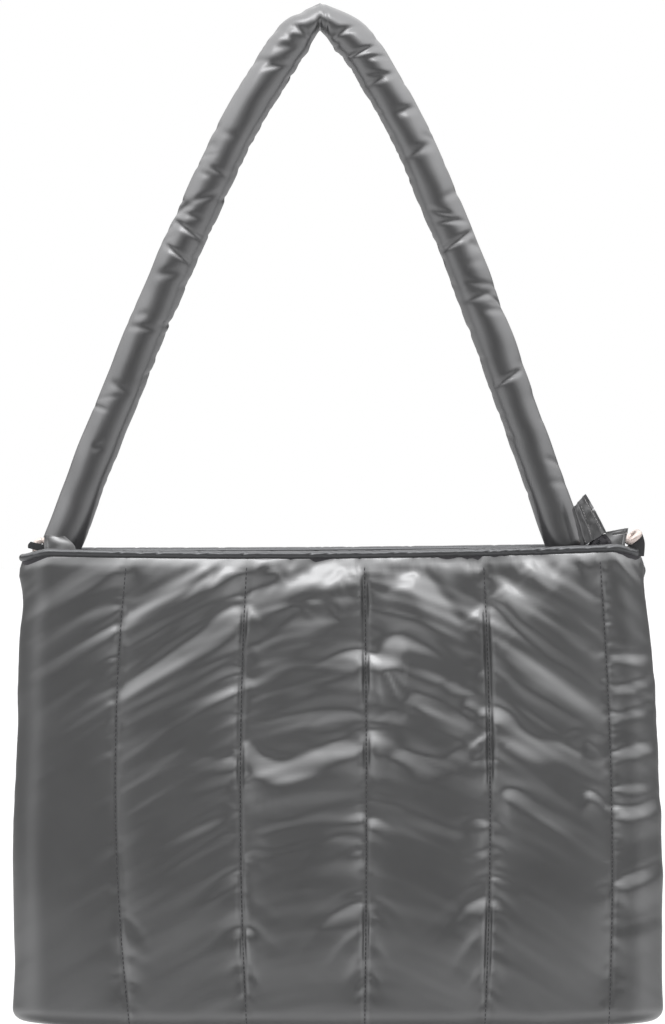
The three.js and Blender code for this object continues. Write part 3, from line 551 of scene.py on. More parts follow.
class Wire:
    """A value in a shader. Sums, differences and products of wires add Math nodes."""

    def __init__(self, finish, socket):
        self.finish = finish
        self.socket = socket

    def maths(self, operation, first, second):
        return self.finish.node("ShaderNodeMath", {"operation": operation}, {0: first, 1: second})

    def __add__(self, other):
        return self.maths("ADD", self, other)

    def __radd__(self, other):
        return self.maths("ADD", other, self)

    def __sub__(self, other):
        return self.maths("SUBTRACT", self, other)

    def __rsub__(self, other):
        return self.maths("SUBTRACT", other, self)

    def __mul__(self, other):
        return self.maths("MULTIPLY", self, other)

    def __rmul__(self, other):
        return self.maths("MULTIPLY", other, self)

    def __truediv__(self, other):
        return self.maths("DIVIDE", self, other)

    def __pow__(self, other):
        return self.maths("POWER", self, other)


class Finish:
    """A material whose nodes are all added by one method."""

    def __init__(self, name):
        self.material = bpy.data.materials.new(name)
        self.material.use_nodes = True
        self.tree = self.material.node_tree
        self.tree.nodes.clear()
        self.output = self.tree.nodes.new("ShaderNodeOutputMaterial")

    def node(self, kind, settings=None, inputs=None, output=0):
        made = self.tree.nodes.new(kind)
        for key, value in (settings or {}).items():
            if key == "stops":
                ramp = made.color_ramp
                while len(ramp.elements) < len(value):
                    ramp.elements.new(0.5)
                for stop, (place, tone) in zip(ramp.elements, value):
                    stop.position = place
                    stop.color = (tone, tone, tone, 1)
            else:
                setattr(made, key, value)
        for key, value in (inputs or {}).items():
            if isinstance(value, Wire):
                self.tree.links.new(value.socket, made.inputs[key])
            else:
                made.inputs[key].default_value = value
        return Wire(self, made.outputs[output])

    def surface(self, **inputs):
        named = {key.replace("_", " "): value for key, value in inputs.items()}
        shader = self.node("ShaderNodeBsdfPrincipled", None, named)
        self.tree.links.new(shader.socket, self.output.inputs["Surface"])
        return self.material


def woven_nylon(name, light, dark, thread, roughness, metallic):
    """Satin nylon: fine threads in both directions, a slow change of tone and a soft metal sheen."""
    finish = Finish(name)
    uv = finish.node("ShaderNodeUVMap", {"uv_map": "weave"})
    fine = finish.node(
        "ShaderNodeTexNoise", None, {"Vector": uv, "Scale": 900.0, "Detail": 3.0, "Roughness": 0.7}
    )
    slow = finish.node(
        "ShaderNodeTexNoise", None, {"Vector": uv, "Scale": 26.0, "Detail": 4.0, "Roughness": 0.55}
    )
    warp = finish.node(
        "ShaderNodeTexWave",
        {"wave_type": "BANDS", "bands_direction": "X"},
        {"Vector": uv, "Scale": 1 / (20 * thread), "Distortion": 0.6, "Detail Scale": 2.0},
    )
    weft = finish.node(
        "ShaderNodeTexWave",
        {"wave_type": "BANDS", "bands_direction": "Y"},
        {"Vector": uv, "Scale": 1 / (20 * thread), "Distortion": 0.6, "Detail Scale": 2.0},
    )
    tone = slow * 0.85 + fine * 0.15
    colour = finish.node(
        "ShaderNodeMix", {"data_type": "RGBA"}, {"Factor": tone, "A": (*dark, 1), "B": (*light, 1)}, 2
    )
    weave = warp * weft + fine * 0.15
    bump = finish.node(
        "ShaderNodeBump", None, {"Strength": 0.03, "Distance": 0.0001, "Height": weave}
    )
    rough = roughness + (fine - 0.5) * 0.02 + (slow - 0.5) * 0.05
    return finish.surface(
        Base_Color=colour, Roughness=rough, Metallic=metallic, Normal=bump, Sheen_Weight=0.12, Sheen_Roughness=0.4
    )


SHELL_LIGHT = (0.325, 0.326, 0.33)
SHELL_DARK = (0.275, 0.276, 0.28)
THREAD_PITCH = 0.35 * MM
shell_nylon = woven_nylon("shell_nylon", SHELL_LIGHT, SHELL_DARK, THREAD_PITCH, 0.305, 0.9)


SWELL_PRESSURE = 900
SWELL_SPARE = 0.07
SWELL_FRAMES = 22
SWELL_REACH = 3.5 * MM


def settle(wall, free):
    """Lets the filling press the spare nylon out between its seams, and keeps the shape it takes."""
    start = np.array([vertex.co for vertex in wall.data.vertices])
    pins = wall.vertex_groups.new(name="seams")
    hold = np.clip(1 - free, 0, 1)
    for index, weight in enumerate(hold):
        pins.add([index], 1.0 if weight > 0.98 else 0.03 * float(weight), "REPLACE")
    cloth = wall.modifiers.new("filling", "CLOTH")
    cloth.settings.quality = 6
    cloth.settings.mass = 0.02
    cloth.settings.air_damping = 5
    cloth.settings.tension_stiffness = 6
    cloth.settings.compression_stiffness = 6
    cloth.settings.shear_stiffness = 3
    cloth.settings.bending_stiffness = 0.02
    cloth.settings.shrink_min = -SWELL_SPARE
    cloth.settings.use_pressure = True
    cloth.settings.uniform_pressure_force = SWELL_PRESSURE
    cloth.settings.vertex_group_mass = "seams"
    cloth.settings.effector_weights.gravity = 0
    cloth.point_cache.frame_start = 1
    cloth.point_cache.frame_end = SWELL_FRAMES
    for number in range(1, SWELL_FRAMES + 1):
        bpy.context.scene.frame_set(number)
    shaped = wall.evaluated_get(bpy.context.evaluated_depsgraph_get()).to_mesh()
    moved = np.array([vertex.co for vertex in shaped.vertices]) - start
    wall.modifiers.remove(cloth)
    wall.vertex_groups.remove(pins)
    bpy.context.scene.frame_set(1)
    far = np.linalg.norm(moved, axis=1)
    kept = SWELL_REACH * np.tanh(far / SWELL_REACH) / np.maximum(far, 1e-9)
    for vertex, place in zip(wall.data.vertices, start + moved * kept[:, None]):
        vertex.co = place
    wall.data.update()


def finish_wall(wall, node, free):
    """Gives a wall its padded form, its thickness, its nylon and its place in the frame."""
    settle(wall, free)
    wall.data.materials.append(shell_nylon)
    skin = wall.modifiers.new("thickness", "SOLIDIFY")
    skin.thickness = 2.2 * MM
    skin.offset = -1
    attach(wall, "root")
    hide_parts(node)


finish_wall(front, "front_panel", front_held)

# Back wall
# The same quilted wall behind, which the photo doesn't show, so its folds are fewer and plainer.
BACK_FOLDS = (
    (((246, 600), (205, 640), (150, 680)), 14, 0.34, 0.12),
    (((300, 600), (330, 640), (362, 672)), 15, 0.20, 0.34),
    (((367, 690), (420, 712), (470, 725)), 13, 0.36, 0.14),
    (((252, 765), (300, 786), (362, 772)), 13, 0.30, 0.34),
    (((488, 610), (540, 660), (600, 690)), 14, 0.38, 0.16),
    (((130, 762), (180, 776), (240, 762)), 12, 0.16, 0.32),
    (((490, 800), (545, 812), (604, 800)), 12, 0.30, 0.20),
    (((366, 850), (335, 868), (300, 890)), 11, 0.26, 0.08),
)
back, back_swell, back_held = quilted_wall(
    "back_quilt", True, BACK_FOLDS + tuple(make_puckers(11, FRONT_PUCKERS)), 5.1
)
finish_wall(back, "back_panel", back_held)

# Mouth piping
# A cord in a bias strip of the same nylon, sewn round the whole mouth. The strip twists a little on
# the cord, which leaves slanting creases along the front.
PIPING_RADIUS = 2.4 * MM
PIPING_INSET = 2 * MM
PIPING_LIFT = 0.6 * MM
PIPING_CORNER = 17 * MM
PIPING_SIDES = 20
PIPING_STATIONS = 720
PIPING_CREASES = 190


def mouth_place(run, inset):
    """A place on the mouth's plan from the middle of its left end, by the front, in shares of a turn."""
    left = half_width(BODY_HEIGHT, 1) - PIPING_INSET - PIPING_CORNER
    right = half_width(BODY_HEIGHT, 2) - PIPING_INSET - PIPING_CORNER
    deep = MOUTH_DEPTH / 2 - PIPING_INSET - PIPING_CORNER
    arc = PIPING_CORNER * math.pi / 2
    stops = np.cumsum([0, deep, arc, left + right, arc, 2 * deep, arc, left + right, arc, deep])
    at = np.asarray(run) * stops[-1]
    turn = np.interp(at, stops, np.array([0, 0, 1, 1, 2, 2, 3, 3, 4, 4]) * math.pi / 2)
    x = np.interp(at, stops, [-left, -left, -left, right, right, right, right, -left, -left, -left])
    y = np.interp(at, stops, [0, -deep, -deep, -deep, -deep, deep, deep, deep, deep, 0])
    out = np.stack([-np.cos(turn), -np.sin(turn)], axis=1)
    reach = np.reshape(np.maximum(PIPING_CORNER - inset, 0), (-1, 1))
    return np.stack([x, y], axis=1) + out * reach, out, at


def tube_grid(name, stations, sides, closed):
    """A flat grid for a tube, with its shares round and along; it is rolled and its seam closed later."""
    skin = bmesh.new()
    bmesh.ops.create_grid(skin, x_segments=sides, y_segments=stations, size=0.5)
    flat = np.array([vertex.co[:2] for vertex in skin.verts]) + 0.5
    return skin, flat[:, 0], flat[:, 1]


def close_tube(name, skin, places, sheet):
    """Moves a rolled grid to its places, keeps its cloth sizes as UV, and closes its seam."""
    weave = skin.loops.layers.uv.new("weave")
    for face in skin.faces:
        for loop in face.loops:
            loop[weave].uv = sheet[loop.vert.index]
    for vertex, place in zip(skin.verts, places):
        vertex.co = place
    bmesh.ops.remove_doubles(skin, verts=skin.verts, dist=1e-6)
    bmesh.ops.holes_fill(skin, edges=[edge for edge in skin.edges if edge.is_boundary])
    bmesh.ops.recalc_face_normals(skin, faces=skin.faces)
    mesh = bpy.data.meshes.new(name)
    skin.to_mesh(mesh)
    skin.free()
    mesh.shade_smooth()
    made = bpy.data.objects.new(name, mesh)
    bpy.context.scene.collection.objects.link(made)
    return made


def creases(around, along, rows):
    """Depth of narrow creases on a tube: each has a place, a turn, a slant, a length and a depth."""
    depth = np.zeros_like(along)
    for place, turn, slant, length, breadth, deep in rows:
        side = (around - turn + math.pi) % (2 * math.pi) - math.pi
        ahead = along - place
        across = (ahead * math.cos(slant) - side * math.sin(slant)) / breadth
        length_share = (ahead * math.sin(slant) + side * math.cos(slant)) / length
        depth += deep * np.exp(-(across**2)) * np.exp(-(length_share**4))
    return depth


skin, round_share, long_share = tube_grid("mouth_piping", PIPING_STATIONS, PIPING_SIDES, True)
plan, outward, along = mouth_place(long_share, 0)
turn = round_share * 2 * math.pi
draw = random.Random(5)
rows = []
for _ in range(PIPING_CREASES):
    place = draw.uniform(0, float(along.max()))
    rows.append((
        place / PIPING_RADIUS,
        draw.uniform(-0.5, 1.6),
        draw.uniform(0.75, 1.15),
        draw.uniform(0.8, 1.6),
        draw.uniform(0.16, 0.3),
        draw.uniform(0.07, 0.22),
    ))
crease = creases(turn, along / PIPING_RADIUS, rows)
swell = np.array([noise.noise(Vector((a * 60, 2.0, 0))) for a in along]) * 0.05
radius = PIPING_RADIUS * (1 + swell - crease)
level = mouth_level(plan[:, 0], plan[:, 1]) + PIPING_LIFT + PIPING_RADIUS
places = np.stack([
    plan[:, 0] + outward[:, 0] * np.cos(turn) * radius + CENTRE_X,
    plan[:, 1] + outward[:, 1] * np.cos(turn) * radius + CENTRE_Y,
    level + np.sin(turn) * radius + BASE_Z,
], axis=1)
piping = close_tube("piping", skin, places, np.stack([turn * PIPING_RADIUS, along], axis=1))
# The piping and the side tabs share this darker nylon; on the side tabs its darkness is painted shade.
trim_nylon = woven_nylon("trim_nylon", (0.17, 0.172, 0.178), (0.13, 0.132, 0.137), THREAD_PITCH, 0.33, 0.85)
piping.data.materials.append(trim_nylon)
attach(piping, "root")
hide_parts("mouth_piping")

# Shoulder strap
# One long filled tube of the same nylon, with its seam on the inner side. It hangs by a sharp fold
# over a thin hook, and both of its ends go down into the mouth behind their tabs.
STRAP_RADIUS = 12.3 * MM
STRAP_FOLD_TALL = 9.6 * MM
STRAP_FOLD_DEEP = 13.2 * MM
STRAP_FOLD_REACH = 24 * MM
STRAP_FOOT_TAPER = 13 * MM
STRAP_FOOT_SHARE = 0.62
STRAP_SIDES = 72
STRAP_STATIONS = 620
STRAP_PUCKERS = 260

# Row of the photo, and the columns where the middles of the two limbs cross it
STRAP_ROUTE = (
    (564, 54.5, 572.5),
    (540, 64.0, 564.0),
    (500, 79.0, 550.0),
    (460, 94.0, 536.0),
    (420, 110.0, 521.5),
    (380, 127.0, 507.5),
    (340, 142.0, 493.5),
    (300, 159.5, 478.0),
    (260, 176.5, 463.5),
    (220, 194.5, 447.0),
    (180, 213.0, 430.0),
    (140, 232.0, 412.5),
    (100, 254.0, 391.5),
    (60, 279.0, 367.5),
    (38, 294.5, 350.0),
    (17, 320.0, 320.0),
)


def strap_limb(column, shares):
    """The middle line of one limb, from its foot to the fold, at even shares of its length."""
    fine = smooth_line([from_photo(row[column], row[0]) for row in STRAP_ROUTE], 12)
    runs = np.concatenate([[0], np.cumsum(np.hypot(*np.diff(fine, axis=0).T))])
    at = shares * runs[-1]
    x = np.interp(at, runs, fine[:, 0])
    z = np.interp(at, runs, fine[:, 1])
    reach = 4 * MM
    ahead = np.minimum(at + reach, runs[-1])
    back = np.maximum(at - reach, 0)
    dx = np.interp(ahead, runs, fine[:, 0]) - np.interp(back, runs, fine[:, 0])
    dz = np.interp(ahead, runs, fine[:, 1]) - np.interp(back, runs, fine[:, 1])
    long = np.hypot(dx, dz)
    return x, z, dx / long, dz / long, at, runs[-1]


skin, round_share, long_share = tube_grid("shoulder_strap", STRAP_STATIONS, STRAP_SIDES, False)
on_left = long_share < 0.5
from_foot = 1 - 2 * np.abs(long_share - 0.5)
left_limb = strap_limb(1, from_foot)
right_limb = strap_limb(2, from_foot)
x, z, heading_x, heading_z, run, limb_length = (
    np.where(on_left, one, two) for one, two in zip(left_limb, right_limb)
)
heading_x = np.where(on_left, heading_x, -heading_x)
heading_z = np.where(on_left, heading_z, -heading_z)
to_fold = limb_length - run
folded = 1 - smoothstep(to_fold, 0, STRAP_FOLD_REACH)
heading_x = heading_x + (1 - heading_x) * folded
heading_z = heading_z * (1 - folded)
long = np.hypot(heading_x, heading_z)
out_x = -heading_z / long
out_z = heading_x / long
turn = round_share * 2 * math.pi
signed_run = np.where(on_left, -to_fold, to_fold) / STRAP_RADIUS
draw = random.Random(12)
rows = []
for number in range(STRAP_PUCKERS):
    limb = draw.choice((-1, 1))
    up = draw.random() ** 0.75
    place = limb * (1 - up) * float(limb_length.max()) / STRAP_RADIUS
    inner = draw.random() < 0.62
    turn_at = math.pi + draw.uniform(-0.2, 0.9) if inner else draw.uniform(-1.2, 1.9)
    strong = 0.45 + 0.75 * up
    rows.append((
        place,
        -turn_at,
        limb * draw.uniform(-0.1, 0.75),
        draw.uniform(0.3, 0.95),
        draw.uniform(0.1, 0.24),
        strong * draw.uniform(0.015, 0.07),
    ))
for place, slant, length, breadth, deep in (
    (2.8, 0.2, 0.9, 0.12, 0.1),
    (0.35, -0.1, 1.2, 0.1, 0.15),
    (1.4, 0.5, 0.9, 0.15, 0.08),
    (-1.2, -0.4, 0.8, 0.15, 0.07),
    (-12.7, 0.15, 1.2, 0.14, 0.08),
    (-14.0, 0.2, 0.9, 0.12, 0.07),
    (13.4, -0.15, 1.2, 0.14, 0.08),
    (20.7, -0.2, 0.9, 0.13, 0.07),
):
    rows.append((place, -math.pi / 2, slant, length, breadth, deep))
crease = creases(turn, signed_run, rows)
soft = np.array([
    noise.noise(Vector((math.cos(a) * 0.9 + 3, math.sin(a) * 0.9, s * 0.55))) for a, s in zip(turn, signed_run)
])
fold_groove = 0.16 * np.exp(-((to_fold / (2.2 * MM)) ** 2)) * np.clip(np.sin(-turn) + 0.6, 0, 1)
taper = STRAP_FOOT_SHARE + (1 - STRAP_FOOT_SHARE) * smoothstep(run, 0, STRAP_FOOT_TAPER)
inner_seam = 0.035 * np.exp(-(((turn - math.pi) / 0.09) ** 2))
plump = (1 + 0.045 * soft - crease - inner_seam - fold_groove) * taper
tall = (STRAP_RADIUS + (STRAP_FOLD_TALL - STRAP_RADIUS) * folded) * plump
wide = (STRAP_RADIUS + (STRAP_FOLD_DEEP - STRAP_RADIUS) * folded) * plump
places = np.stack([
    x + out_x * np.cos(turn) * tall,
    np.sin(turn) * wide,
    z + out_z * np.cos(turn) * tall,
], axis=1)
strap = close_tube("strap", skin, places, np.stack([turn * STRAP_RADIUS, signed_run * STRAP_RADIUS], axis=1))
# The strap's nylon is the walls' nylon with a darker base: painted shade.
painted_shade_strap_nylon = woven_nylon("painted_shade_strap_nylon", (0.30, 0.30, 0.305), (0.24, 0.24, 0.245), THREAD_PITCH, 0.305, 0.9)
strap.data.materials.append(painted_shade_strap_nylon)
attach(strap, "root")
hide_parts("shoulder_strap")

# Zip
# Woven tape sewn under the piping all round, folded down and in to a closed coil in the middle of
# the mouth. The slider stands at the left end, where the zip is shut.
ZIP_DROP = 14 * MM
TAPE_THICKNESS = 0.9 * MM
COIL_PITCH = 1.9 * MM
COIL_REACH = 1.9 * MM
COIL_RADIUS = 0.8 * MM
SLIDER_INSET = 12 * MM

# Section of one side of the tape from the piping to the coil: inset and drop in millimetres
TAPE_SECTION = (
    (0.0, -1.6),
    (0.9, 1.5),
    (2.0, 5.5),
    (3.4, 10.0),
    (6.0, 13.0),
    (10.0, 13.8),
    (16.8, 14.0),
)

zip_tape = woven_nylon("zip_tape", (0.05, 0.047, 0.054), (0.035, 0.033, 0.038), 0.8 * MM, 0.7, 0.0)
zip_coil = woven_nylon("zip_coil", (0.03, 0.03, 0.034), (0.02, 0.02, 0.023), 0.5 * MM, 0.38, 0.0)


def zip_side(name, node, first_share):
    """Half of the tape, from one end of the mouth to the other."""
    skin = bmesh.new()
    bmesh.ops.create_grid(skin, x_segments=280, y_segments=24, size=0.5)
    flat = np.array([vertex.co[:2] for vertex in skin.verts]) + 0.5
    deep = np.linspace(0, 1, len(TAPE_SECTION))
    inset = np.interp(flat[:, 1], deep, [row[0] for row in TAPE_SECTION]) * MM
    drop = np.interp(flat[:, 1], deep, [row[1] for row in TAPE_SECTION]) * MM
    plan, out, along = mouth_place(first_share + flat[:, 0] / 2, inset)
    plan[:, 1] *= np.interp(flat[:, 1], [0.8, 1], [1, 0.72])
    level = mouth_level(plan[:, 0], plan[:, 1])
    level += (mouth_level(plan[:, 0], 0 * level) - level) * flat[:, 1]
    slack = np.array([noise.noise(Vector((a * 45, first_share * 9, b * 2))) for a, b in zip(along, flat[:, 1])])
    z = level - drop + slack * 0.5 * MM * flat[:, 1]
    places = np.stack([plan[:, 0] + CENTRE_X, plan[:, 1] + CENTRE_Y, z + BASE_Z], axis=1)
    weave = skin.loops.layers.uv.new("weave")
    for vertex, place in zip(skin.verts, places):
        vertex.co = place
    for face in skin.faces:
        for loop in face.loops:
            loop[weave].uv = (along[loop.vert.index], flat[loop.vert.index, 1] * 0.03)
    skin.normal_update()
    if sum(face.normal.z for face in skin.faces) < 0:
        bmesh.ops.reverse_faces(skin, faces=skin.faces)
    mesh = bpy.data.meshes.new(name)
    skin.to_mesh(mesh)
    skin.free()
    mesh.shade_smooth()
    mesh.materials.append(zip_tape)
    made = bpy.data.objects.new(name, mesh)
    bpy.context.scene.collection.objects.link(made)
    wall = made.modifiers.new("thickness", "SOLIDIFY")
    wall.thickness = TAPE_THICKNESS
    wall.offset = -1
    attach(made, "root")
    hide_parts(node)
    return made


zip_side("tape_front", "zip_tape_front", 0.0)
zip_side("tape_back", "zip_tape_back", 0.5)

bead_skin = bmesh.new()
bmesh.ops.create_uvsphere(bead_skin, u_segments=8, v_segments=6, radius=1)
bead = bpy.data.meshes.new("bead")
bead_skin.to_mesh(bead)
bead_skin.free()


def add_bead(skin, matrix):
    """Adds one rounded bead, such as a stitch or a turn of the coil, to a bmesh."""
    copy = bead.copy()
    copy.transform(matrix)
    skin.from_mesh(copy)
    bpy.data.meshes.remove(copy)


def bead_piece(name, skin, material):
    """Makes the piece of many beads, with the weave's map laid on from the front."""
    mesh = bpy.data.meshes.new(name)
    skin.to_mesh(mesh)
    skin.free()
    mesh.shade_smooth()
    weave = mesh.uv_layers.new(name="weave")
    for loop in mesh.loops:
        place = mesh.vertices[loop.vertex_index].co
        weave.data[loop.index].uv = (place.x + place.y, place.z)
    mesh.materials.append(material)
    made = bpy.data.objects.new(name, mesh)
    bpy.context.scene.collection.objects.link(made)
    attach(made, "root")
    return made


coil = bmesh.new()
coil_start = -half_width(BODY_HEIGHT, 1) + PIPING_INSET + PIPING_CORNER
coil_end = half_width(BODY_HEIGHT, 2) - PIPING_INSET - PIPING_CORNER
for number in range(int((coil_end - coil_start) / COIL_PITCH)):
    x = coil_start + number * COIL_PITCH
    level = float(mouth_level(np.array([x]), np.array([0.0]))[0]) - ZIP_DROP
    for side in (-1, 1):
        shift = COIL_PITCH / 2 if side > 0 else 0
        place = Vector((x + shift + CENTRE_X, side * COIL_REACH * 0.72 + CENTRE_Y, level + 0.4 * MM + BASE_Z))
        turned = Matrix.Rotation(side * 0.35, 4, "Z")
        sized = Matrix.Diagonal((COIL_RADIUS, COIL_REACH, COIL_RADIUS, 1))
        add_bead(coil, Matrix.Translation(place) @ turned @ sized)
teeth = bead_piece("coil", coil, zip_coil)
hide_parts("zip_teeth")

finish = Finish("ring_metal")
spot = finish.node("ShaderNodeTexCoord", None, None, 3)
brushed = finish.node("ShaderNodeTexNoise", None, {"Vector": spot, "Scale": 900.0, "Detail": 4.0})
worn = finish.node("ShaderNodeTexNoise", None, {"Vector": spot, "Scale": 120.0, "Detail": 3.0})
metal_tone = finish.node(
    "ShaderNodeMix", {"data_type": "RGBA"}, {"Factor": worn, "A": (0.76, 0.64, 0.59, 1), "B": (0.84, 0.73, 0.68, 1)}, 2
)
metal_bump = finish.node("ShaderNodeBump", None, {"Strength": 0.05, "Distance": 0.00005, "Height": brushed})
ring_metal = finish.surface(
    Base_Color=metal_tone, Roughness=0.26 + worn * 0.14, Metallic=0.5, Normal=metal_bump
)

slider_x = coil_start + SLIDER_INSET
slider_z = float(mouth_level(np.array([slider_x]), np.array([0.0]))[0]) - ZIP_DROP + 1.5 * MM + BASE_Z
slider = bmesh.new()
plate = bmesh.ops.create_cube(slider, size=1, matrix=Matrix.Diagonal((10 * MM, 7 * MM, 2.4 * MM, 1)))
for vertex in plate["verts"]:
    if vertex.co.x > 0:
        vertex.co.y *= 0.66
pull = bmesh.ops.create_cube(slider, size=1, matrix=Matrix.Diagonal((15 * MM, 5 * MM, 1.2 * MM, 1)))
bmesh.ops.translate(slider, verts=pull["verts"], vec=(8 * MM, 0, 3.2 * MM))
for vertex in pull["verts"]:
    if vertex.co.x < 4 * MM:
        vertex.co.y *= 0.55
bridge = bmesh.ops.create_cube(slider, size=1, matrix=Matrix.Diagonal((6 * MM, 2 * MM, 3.4 * MM, 1)))
bmesh.ops.translate(slider, verts=bridge["verts"], vec=(-0.5 * MM, 0, 2.2 * MM))
bmesh.ops.bevel(
    slider, geom=slider.edges[:], offset=0.5 * MM, affect="EDGES", segments=3, profile=0.5, material=-1
)
bmesh.ops.translate(slider, verts=slider.verts, vec=(slider_x + CENTRE_X, CENTRE_Y, slider_z))
slider_mesh = bpy.data.meshes.new("slider")
slider.to_mesh(slider_mesh)
slider.free()
slider_mesh.materials.append(ring_metal)
zip_slider = bpy.data.objects.new("slider", slider_mesh)
bpy.context.scene.collection.objects.link(zip_slider)
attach(zip_slider, "root")
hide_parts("zip_slider")

# Zip tail
# The zip's end curls up out of the mouth at the right, and a folded and stitched tab of the shell's
# nylon closes it off, so that the zip can be gripped there.
TAIL_DEPTH = -17.0 * MM
TAIL_WIDTH = 7 * MM
TAIL_TAB_THICKNESS = 2.2 * MM


def resampled(points, steps, count):
    """Even places along a smooth line through points of the photo."""
    fine = smooth_line([from_photo(*point) for point in points], steps)
    runs = np.concatenate([[0], np.cumsum(np.hypot(*np.diff(fine, axis=0).T))])
    at = np.linspace(0, runs[-1], count)
    return np.stack([np.interp(at, runs, fine[:, 0]), np.interp(at, runs, fine[:, 1])], axis=1)


def cloth_patch(name, first_edge, second_edge, depth, lift, thickness, material):
    """A piece of cloth between two edges drawn on the photo, raised towards the front by its lift."""
    columns = 40
    rows = 56
    skin = bmesh.new()
    bmesh.ops.create_grid(skin, x_segments=columns, y_segments=rows, size=0.5)
    flat = np.array([vertex.co[:2] for vertex in skin.verts]) + 0.5
    left = resampled(first_edge, 10, rows + 1)
    right = resampled(second_edge, 10, rows + 1)
    row = np.round(flat[:, 1] * rows).astype(int)
    across = flat[:, :1]
    flat_places = left[row] * (1 - across) + right[row] * across
    raised = lift(flat[:, 0], flat[:, 1])
    weave = skin.loops.layers.uv.new("weave")
    for vertex, place, rise in zip(skin.verts, flat_places, raised):
        vertex.co = (place[0], depth - rise, place[1])
    for face in skin.faces:
        for loop in face.loops:
            loop[weave].uv = flat_places[loop.vert.index]
    skin.normal_update()
    if sum(face.normal.y for face in skin.faces) > 0:
        bmesh.ops.reverse_faces(skin, faces=skin.faces)
    mesh = bpy.data.meshes.new(name)
    skin.to_mesh(mesh)
    skin.free()
    mesh.shade_smooth()
    mesh.materials.append(material)
    made = bpy.data.objects.new(name, mesh)
    bpy.context.scene.collection.objects.link(made)
    wall = made.modifiers.new("thickness", "SOLIDIFY")
    wall.thickness = thickness
    wall.offset = 0
    edge = made.modifiers.new("edge", "BEVEL")
    edge.width = thickness * 0.3
    edge.segments = 3
    edge.limit_method = "ANGLE"
    edge.angle_limit = 1.0
    return made


def tail_lift(across, up):
    """Folds of the tail tab: a low strip on the left, two pressed lines and a thick right edge."""
    strip = smoothstep(across, 0.16, 0.2)
    hem = smoothstep(across, 0.84, 0.88)
    tongue = smoothstep(across, 0.9, 0.93) * smoothstep(up, 0.62, 0.56)
    line = np.exp(-(((across - 0.42) / 0.03) ** 2))
    crumple = np.array([noise.noise(Vector((a * 3.2, b * 4.5, 4.0))) for a, b in zip(across, up)])
    bulge = np.sin(math.pi * across) * np.sin(math.pi * np.clip(up, 0, 1))
    return (0.8 * strip + 0.6 * hem + 0.6 * tongue - 0.3 * line + 0.4 * crumple + 1.4 * bulge) * MM


# The tail tab takes the strap's darker copy of the nylon, whose darker base is painted shade.
tail_tab = cloth_patch(
    "tail_tab",
    ((580, 547), (576, 529), (571, 509)),
    ((604.5, 532), (595, 514), (584, 494)),
    TAIL_DEPTH,
    tail_lift,
    TAIL_TAB_THICKNESS,
    painted_shade_strap_nylon,
)
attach(tail_tab, "root")
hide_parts("zip_tail_tab")

tail = cloth_patch(
    "tail",
    ((585, 556), (587, 546), (594, 537)),
    ((612, 556), (609, 543), (603.5, 534)),
    TAIL_DEPTH + 1.5 * MM,
    tail_lift,
    3.2 * MM,
    zip_tape,
)
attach(tail, "root")
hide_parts("zip_tail")
tail_coil = bmesh.new()
for number, place in enumerate(resampled(((594, 550), (595, 545), (597, 540)), 10, 7)):
    for side in (-1, 1):
        spot = Vector((place[0], TAIL_DEPTH + side * 1.1 * MM - 1.2 * MM, place[1]))
        sized = Matrix.Diagonal((COIL_RADIUS, COIL_REACH * 0.8, COIL_RADIUS, 1))
        add_bead(tail_coil, Matrix.Translation(spot) @ sized)
bead_piece("tail_coil", tail_coil, zip_coil)

# Strap tabs
# A flat, folded tab of nylon at each end of the mouth, looped through its ring and sewn to the
# strap's foot behind it.
TAB_DEPTH = -14.4 * MM
TAB_THICKNESS = 2.4 * MM


def tab_lift(across, up):
    """The hem beside the ring is a thicker fold, and the middle is slightly quilted."""
    hem = smoothstep(across, 0.13, 0.09)
    crumple = np.array([noise.noise(Vector((a * 2.6, b * 3.1, 9.0))) for a, b in zip(across, up)])
    bulge = np.sin(math.pi * across) * np.sin(math.pi * np.clip(up, 0.1, 0.95))
    return (0.5 * hem + 0.4 * crumple + 1.0 * bulge + 2.2 * (1 - up)) * MM


left_tab = cloth_patch(
    "strap_tab_l",
    ((46, 562), (46, 548), (46, 535)),
    ((78, 562), (76, 547), (66, 536.5)),
    TAB_DEPTH,
    tab_lift,
    TAB_THICKNESS,
    shell_nylon,
)
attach(left_tab, "root")
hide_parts("strap_tab_left")


def right_tab_lift(across, up):
    """The same tab the other way round, with its top edge turned back."""
    turned = smoothstep(up, 0.86, 0.9) * smoothstep(across, 0.3, 0.4)
    return tab_lift(1 - across, up) + 0.6 * MM * turned


right_tab = cloth_patch(
    "strap_tab_r",
    ((609, 562), (606, 545), (604, 532)),
    ((621, 562), (623, 545), (626.5, 528)),
    TAB_DEPTH,
    right_tab_lift,
    TAB_THICKNESS,
    shell_nylon,
)
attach(right_tab, "root")
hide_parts("strap_tab_right")
# Rings
# Rose-silver wire rings, bent to a rounded oblong with a butt joint in the top bar. The left one
# stands upright, and the right one leans over towards the strap.
RING_WIRE = 2.05 * MM
RING_HALF_WIDE = 4.0 * MM
RING_HALF_TALL = 6.0 * MM
RING_CORNER = 3.6 * MM
RING_DEPTH = -13.4 * MM


